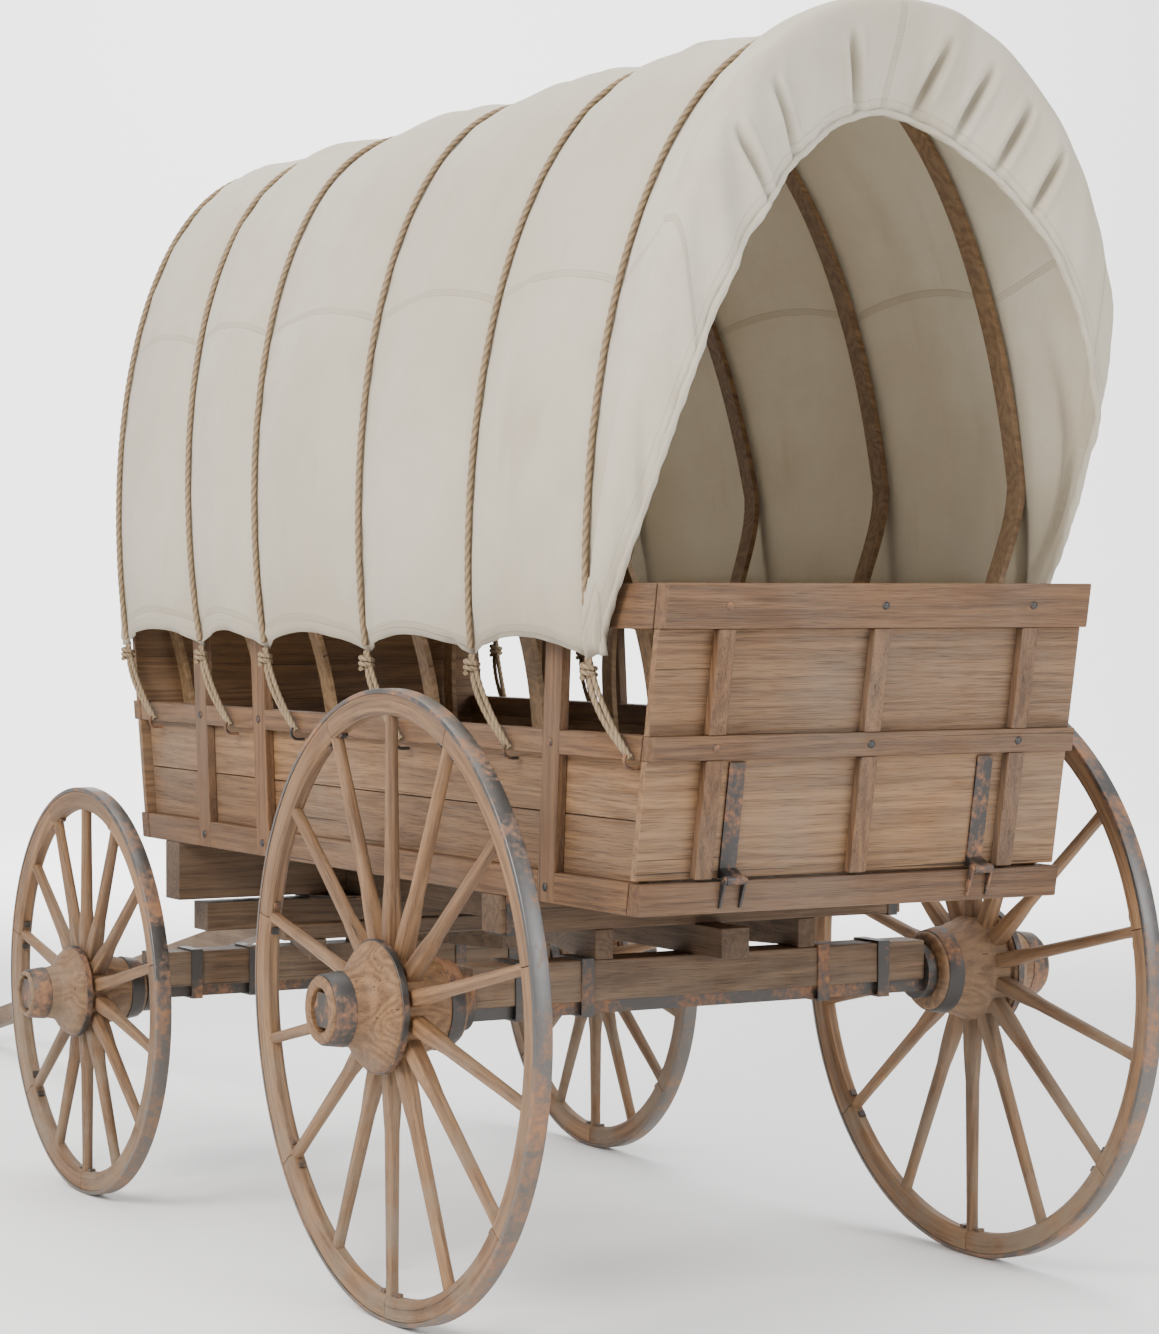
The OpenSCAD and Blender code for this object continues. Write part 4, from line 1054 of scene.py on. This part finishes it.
def duck_finish():
    """Cotton duck: slubby threads both ways, sewn lengthwise seams with two rows of stitches, a
    double hem, rain marks, dust from the road, and painted shade in the folds and under the ropes."""
    duck = Finish("cotton_duck")
    flat = duck.mark("flat")
    place = duck.place()
    along, around = duck.part(flat, "X"), duck.part(flat, "Y")
    warp = duck.noise(duck.stretch(flat, (34.0, 900.0, 1.0)), 1.0, 3.0, 0.6)
    weft = duck.noise(duck.stretch(flat, (900.0, 34.0, 1.0)), 1.0, 3.0, 0.6)
    slub = duck.noise(duck.stretch(flat, (6.0, 160.0, 1.0)), 1.0, 2.0)
    cloud = duck.noise(place, 1.3, 5.0, 0.6)
    mottle = duck.noise(place, 9.0, 5.0, 0.65)
    width = 0.74
    offset = duck.node("ShaderNodeMath", {"operation": "PINGPONG"}, {0: around + 40 * width, 1: width / 2})
    seam = duck.ramp(offset, 0.0085, 0.0065)
    outer_row = duck.ramp(offset, 0.0072, 0.0066) * duck.ramp(offset, 0.0052, 0.0058)
    rows = duck.ramp(offset, 0.0010, 0.0004) + outer_row
    dash = duck.node("ShaderNodeMath", {"operation": "SINE"}, {0: along * (2 * math.pi / 0.007)})
    stitch = rows * duck.ramp(dash, -0.3, 0.3)
    edge = duck.mark("edge", "Fac")
    hem = duck.ramp(edge, 0.030, 0.028)
    hem_line = duck.ramp(edge, 0.030, 0.027) * duck.ramp(edge, 0.0235, 0.0255)
    folds = duck.mark("painted_shade", "Fac")
    colour = duck.blend(duck.ramp(cloud, 0.3, 0.7), (0.60, 0.535, 0.415), (0.735, 0.685, 0.575))
    colour = duck.blend(duck.ramp(mottle, 0.35, 0.75) * 0.35, colour, (0.56, 0.49, 0.37))
    colour = duck.blend((warp + weft + slub) * 0.22, colour, (0.50, 0.44, 0.33))
    rain = duck.noise(duck.stretch(place, (5.0, 5.0, 0.7)), 1.0, 4.0, 0.6)
    rain = duck.ramp(rain, 0.56, 0.66) * duck.ramp(duck.noise(place, 2.2, 2.0), 0.45, 0.6)
    colour = duck.blend(rain * 0.28, colour, (0.43, 0.35, 0.235))
    soil = duck.ramp(duck.part(place, "Z") + mottle * 0.35, 1.90, 1.42)
    colour = duck.blend(soil * 0.55, colour, (0.36, 0.285, 0.195))
    # Painted shade: darker in the gathers and folds, along each bow under its rope, and on the lip rolls.
    colour = duck.blend(folds * 0.6, colour, (0.33, 0.275, 0.20))
    colour = duck.blend(stitch * 0.6 + seam * 0.18 + hem_line * 0.3, colour, (0.40, 0.33, 0.23))
    relief = (warp + weft) * 0.30 + slub * 0.15 + seam * 0.9 + hem * 0.9 - stitch * 0.8 - hem_line * 0.5
    wrinkle = duck.noise(duck.stretch(flat, (26.0, 7.0, 1.0)), 1.0, 4.0, 0.55) * 1.6
    rough = mottle * 0.08 + 0.82
    duck.give(Base_Color=colour, Roughness=rough, Sheen_Weight=0.25,
              Normal=duck.bump(relief + wrinkle, 0.0016, 0.8), Specular_IOR_Level=0.25)
    glow = duck.tree.nodes.new("ShaderNodeBsdfTranslucent")
    colour.feed(glow.inputs["Color"])
    both = duck.tree.nodes.new("ShaderNodeMixShader")
    both.inputs[0].default_value = 0.30
    duck.tree.links.new(duck.shader.outputs[0], both.inputs[1])
    duck.tree.links.new(glow.outputs[0], both.inputs[2])
    duck.tree.links.new(both.outputs[0], duck.output.inputs["Surface"])
    return duck.material


cotton_duck = duck_finish()
CLOTH_T = 0.0022


def canvas_cover():
    """The sheet as one mesh, with its flat coordinates, its distance from the nearest edge and the
    painted shade of its folds, gathers and rope lines kept on it. Returns the piece and its points."""
    points, along, arc, crease_shade, from_bow = canvas_points()
    mesh = points_mesh("cotton_cover", points, grid_faces(*points.shape[:2]).tolist())
    flat = np.stack([along, arc, 0 * arc], -1)
    set_mark(mesh, "flat", flat.reshape(-1, 3))
    side = np.minimum(np.abs(arc - arc[:, :1]), np.abs(arc[:, -1:] - arc))
    end = np.minimum(along, along[-1:] - along)
    set_mark(mesh, "edge", np.minimum(side, end).ravel())
    # Painted shade along each bow, under its rope, added to that of the gathers and folds.
    painted_shade = np.exp(-from_bow / 0.018)[:, None] * 0.7 + crease_shade
    set_mark(mesh, "painted_shade", np.clip(painted_shade, 0, 1).ravel())
    cover = put("cotton_cover", "root", mesh, cotton_duck, ["canvas_cover"], 0.0, 180)
    wall = cover.modifiers.new("cloth", "SOLIDIFY")
    wall.thickness = CLOTH_T
    wall.offset = 0
    return cover, points


cover, cover_points = canvas_cover()


def frame_along(path):
    """Two unit vectors across a path at each of its points: one as near as may be to the first
    across direction of the whole path, and one square to it."""
    run = np.gradient(path, axis=0)
    run /= np.linalg.norm(run, axis=1, keepdims=True)
    spread = np.ptp(path, axis=0)
    least = np.zeros(3)
    least[np.argmin(spread)] = 1
    first = least - run * (run @ least)[:, None]
    first /= np.linalg.norm(first, axis=1, keepdims=True)
    return first, np.cross(run, first)


def laid_rope(path, radius, sides=12, strands=3, pitch=9.0):
    """A rope: a circle carried along a path, whose radius waves round it once for each strand
    and turns with the distance travelled, once in pitch radii."""
    first, second = frame_along(path)
    run = np.concatenate([[0], np.cumsum(np.linalg.norm(np.diff(path, axis=0), axis=1))])
    turn = np.linspace(0, 2 * math.pi, sides, endpoint=False)[None]
    twist = strands * (turn - 2 * math.pi * run[:, None] / (pitch * radius))
    reach = (radius * (0.92 + 0.10 * np.cos(twist)))[..., None]
    ring = np.cos(turn)[..., None] * first[:, None] + np.sin(turn)[..., None] * second[:, None]
    return path[:, None] + reach * ring, np.cos(twist)


def even_path(path, step):
    """The same path with points a step apart."""
    run = np.concatenate([[0], np.cumsum(np.linalg.norm(np.diff(path, axis=0), axis=1))])
    want = np.linspace(0, run[-1], max(2, int(run[-1] / step)))
    return np.stack([np.interp(want, run, path[:, i]) for i in range(3)], -1)


def hemp_finish():
    """Hemp: straw-coloured strands, with painted shade in the grooves between them, and frayed."""
    hemp = Finish("hemp_rope")
    groove = hemp.ramp(hemp.mark("strand", "Fac"), 0.1, -0.8)
    place = hemp.place()
    fuzz = hemp.noise(place, 420.0, 3.0, 0.6)
    patch = hemp.noise(place, 12.0, 3.0)
    colour = hemp.blend(patch, (0.17, 0.115, 0.062), (0.29, 0.205, 0.12))
    # Painted shade in the grooves between the strands.
    colour = hemp.blend(groove * 0.75, colour, (0.045, 0.028, 0.016))
    colour = hemp.blend(fuzz * 0.25, colour, (0.42, 0.32, 0.20))
    return hemp.give(Base_Color=colour, Roughness=0.9, Normal=hemp.bump(fuzz, 0.0008, 0.6))


hemp_rope = hemp_finish()


def rope_piece(name, paths, radii, step):
    """Ropes that lie along the given paths, each with its own radius, joined in one piece."""
    points, faces, marks = [], [], []
    first = 0
    for path, radius in zip(paths, radii):
        loops, strand = laid_rope(even_path(path, step), radius)
        stations, sides = loops.shape[:2]
        points.append(loops.reshape(-1, 3))
        marks.append(strand.ravel())
        faces += (grid_faces(stations, sides, False, True) + first).tolist()
        faces.append((first + np.arange(sides)[::-1]).tolist())
        faces.append((first + (stations - 1) * sides + np.arange(sides)).tolist())
        first += stations * sides
    mesh = points_mesh(name, np.concatenate(points), faces)
    set_mark(mesh, "strand", np.concatenate(marks))
    return put(name, "root", mesh, hemp_rope, (), 0.0, 60)


# Ropes over the cover -------------------------------------------------------------
# A hemp rope lies in the hollow over each bow. At the hem it is made fast with two turns, and
# three falls run down from there to a forged hook under the middle rail.

ROPE_R = 0.0075
TIE_R = 0.0058
TIE_BACK = 0.118
HOOK_Z = rail_low.z + 0.006


def tie_paths(x, z, side):
    """Three falls of rope from the hem to the hook. Each leaves straight down, bends to the rear
    as a power of the distance travelled, and bows out a little from its neighbours."""
    y_top = side * (VALLEY_W - HEM_IN + ROPE_R + 0.002)
    y_low = side * (HALF_W + TIE_R + 0.004)
    t = np.linspace(0, 1, 30)
    back = min(TIE_BACK, x - tail_x - 0.012)
    paths = []
    for apart in (-1, 0, 1):
        belly = apart * (0.004 + 0.011 * np.sin(math.pi * t))
        y = y_top + (y_low - y_top) * t + side * (0.004 if apart else 0.010) * np.sin(math.pi * t)
        paths.append(np.stack([x - back * t ** 1.9 + belly, y, z + (HOOK_Z - z) * t], -1))
    return paths


def knot_path(x, z, side):
    """Two turns of rope round the three falls, wound as a short flat coil."""
    turn = np.linspace(0, 4.4 * math.pi, 54)
    y = side * (VALLEY_W - HEM_IN + ROPE_R + 0.002)
    return np.stack([x + 0.0165 * np.cos(turn), y + 0.0125 * np.sin(turn),
                     z - 0.006 - 0.0118 * turn / (2 * math.pi)], -1)


def hook_path(x, side):
    """A bent iron rod: out of the rail, under the rope's loop and up again."""
    turn = np.linspace(-math.pi / 2, math.pi / 2, 12)
    y = side * (HALF_W + ROPE_R + 0.004)
    bend = np.stack([np.full(12, x), y + side * 0.017 * np.cos(turn) - side * 0.006,
                     HOOK_Z - 0.004 + 0.017 * np.sin(turn)], -1)
    root = [[x, side * (HALF_W - 0.012), HOOK_Z - 0.021]]
    return np.concatenate([root, bend[:9]])


for i, (foot, lead) in enumerate(zip(BOW_FEET, BOW_LEAD)):
    u = np.linspace(0.004, 0.996, 420)
    lift = ROPE_R + 0.0035
    y, z = section(u, VALLEY_W + lift, VALLEY_TOP + lift, HEM_Z)
    paths = [np.stack([lean_at(z, foot, lead), y, z], -1)]
    hem_x = float(lean_at(HEM_Z, foot, lead))
    hooks = []
    for side in (1, -1):
        paths += tie_paths(hem_x, HEM_Z + 0.004, side)
        paths.append(knot_path(hem_x, HEM_Z - 0.004, side))
        hooks.append(hook_path(max(hem_x - TIE_BACK, tail_x + 0.012), side))
    radii = [ROPE_R] + [TIE_R] * (len(paths) - 1)
    rope_piece("cover_rope_%d" % (i + 1), paths, radii, 0.0055)
    loops = np.array([laid_rope(even_path(path, 0.003)[:22], 0.0038, 8, 1, 1e6)[0] for path in hooks])
    mesh = loops_mesh("rope_hooks_%d" % (i + 1), loops)
    put(mesh.name, "root", mesh, forged, (), 0.0, 60)


def lip_roll(name, edge_points):
    """The cover's gathered edge, rolled over its cord: a soft tube along the lip."""
    path = even_path(edge_points, 0.008)
    first, second = frame_along(path)
    turn = np.linspace(0, 2 * math.pi, 12, endpoint=False)[None]
    run = np.arange(len(path))[:, None]
    reach = 0.0075 + 0.0011 * np.cos(3.1 * turn + 0.9 * run) + 0.0007 * np.cos(0.53 * run)
    ring = np.cos(turn)[..., None] * first[:, None] + np.sin(turn)[..., None] * second[:, None]
    loops = path[:, None] + reach[..., None] * ring
    mesh = loops_mesh(name, loops[None])
    flat = np.stack(np.broadcast_arrays(run * 0.008, turn * 0.0075 + 0.20, 0 * turn), -1)
    set_mark(mesh, "flat", flat.reshape(-1, 3))
    count = len(path) * turn.size
    set_mark(mesh, "edge", np.full(count, 0.5))
    # An even painted shade over the whole roll.
    set_mark(mesh, "painted_shade", np.full(count, 0.25))
    return put(name, "root", mesh, cotton_duck, (), 0.0, 180)


rear_roll = lip_roll("rear_lip_roll", cover_points[0])
front_roll = lip_roll("front_lip_roll", cover_points[-1])
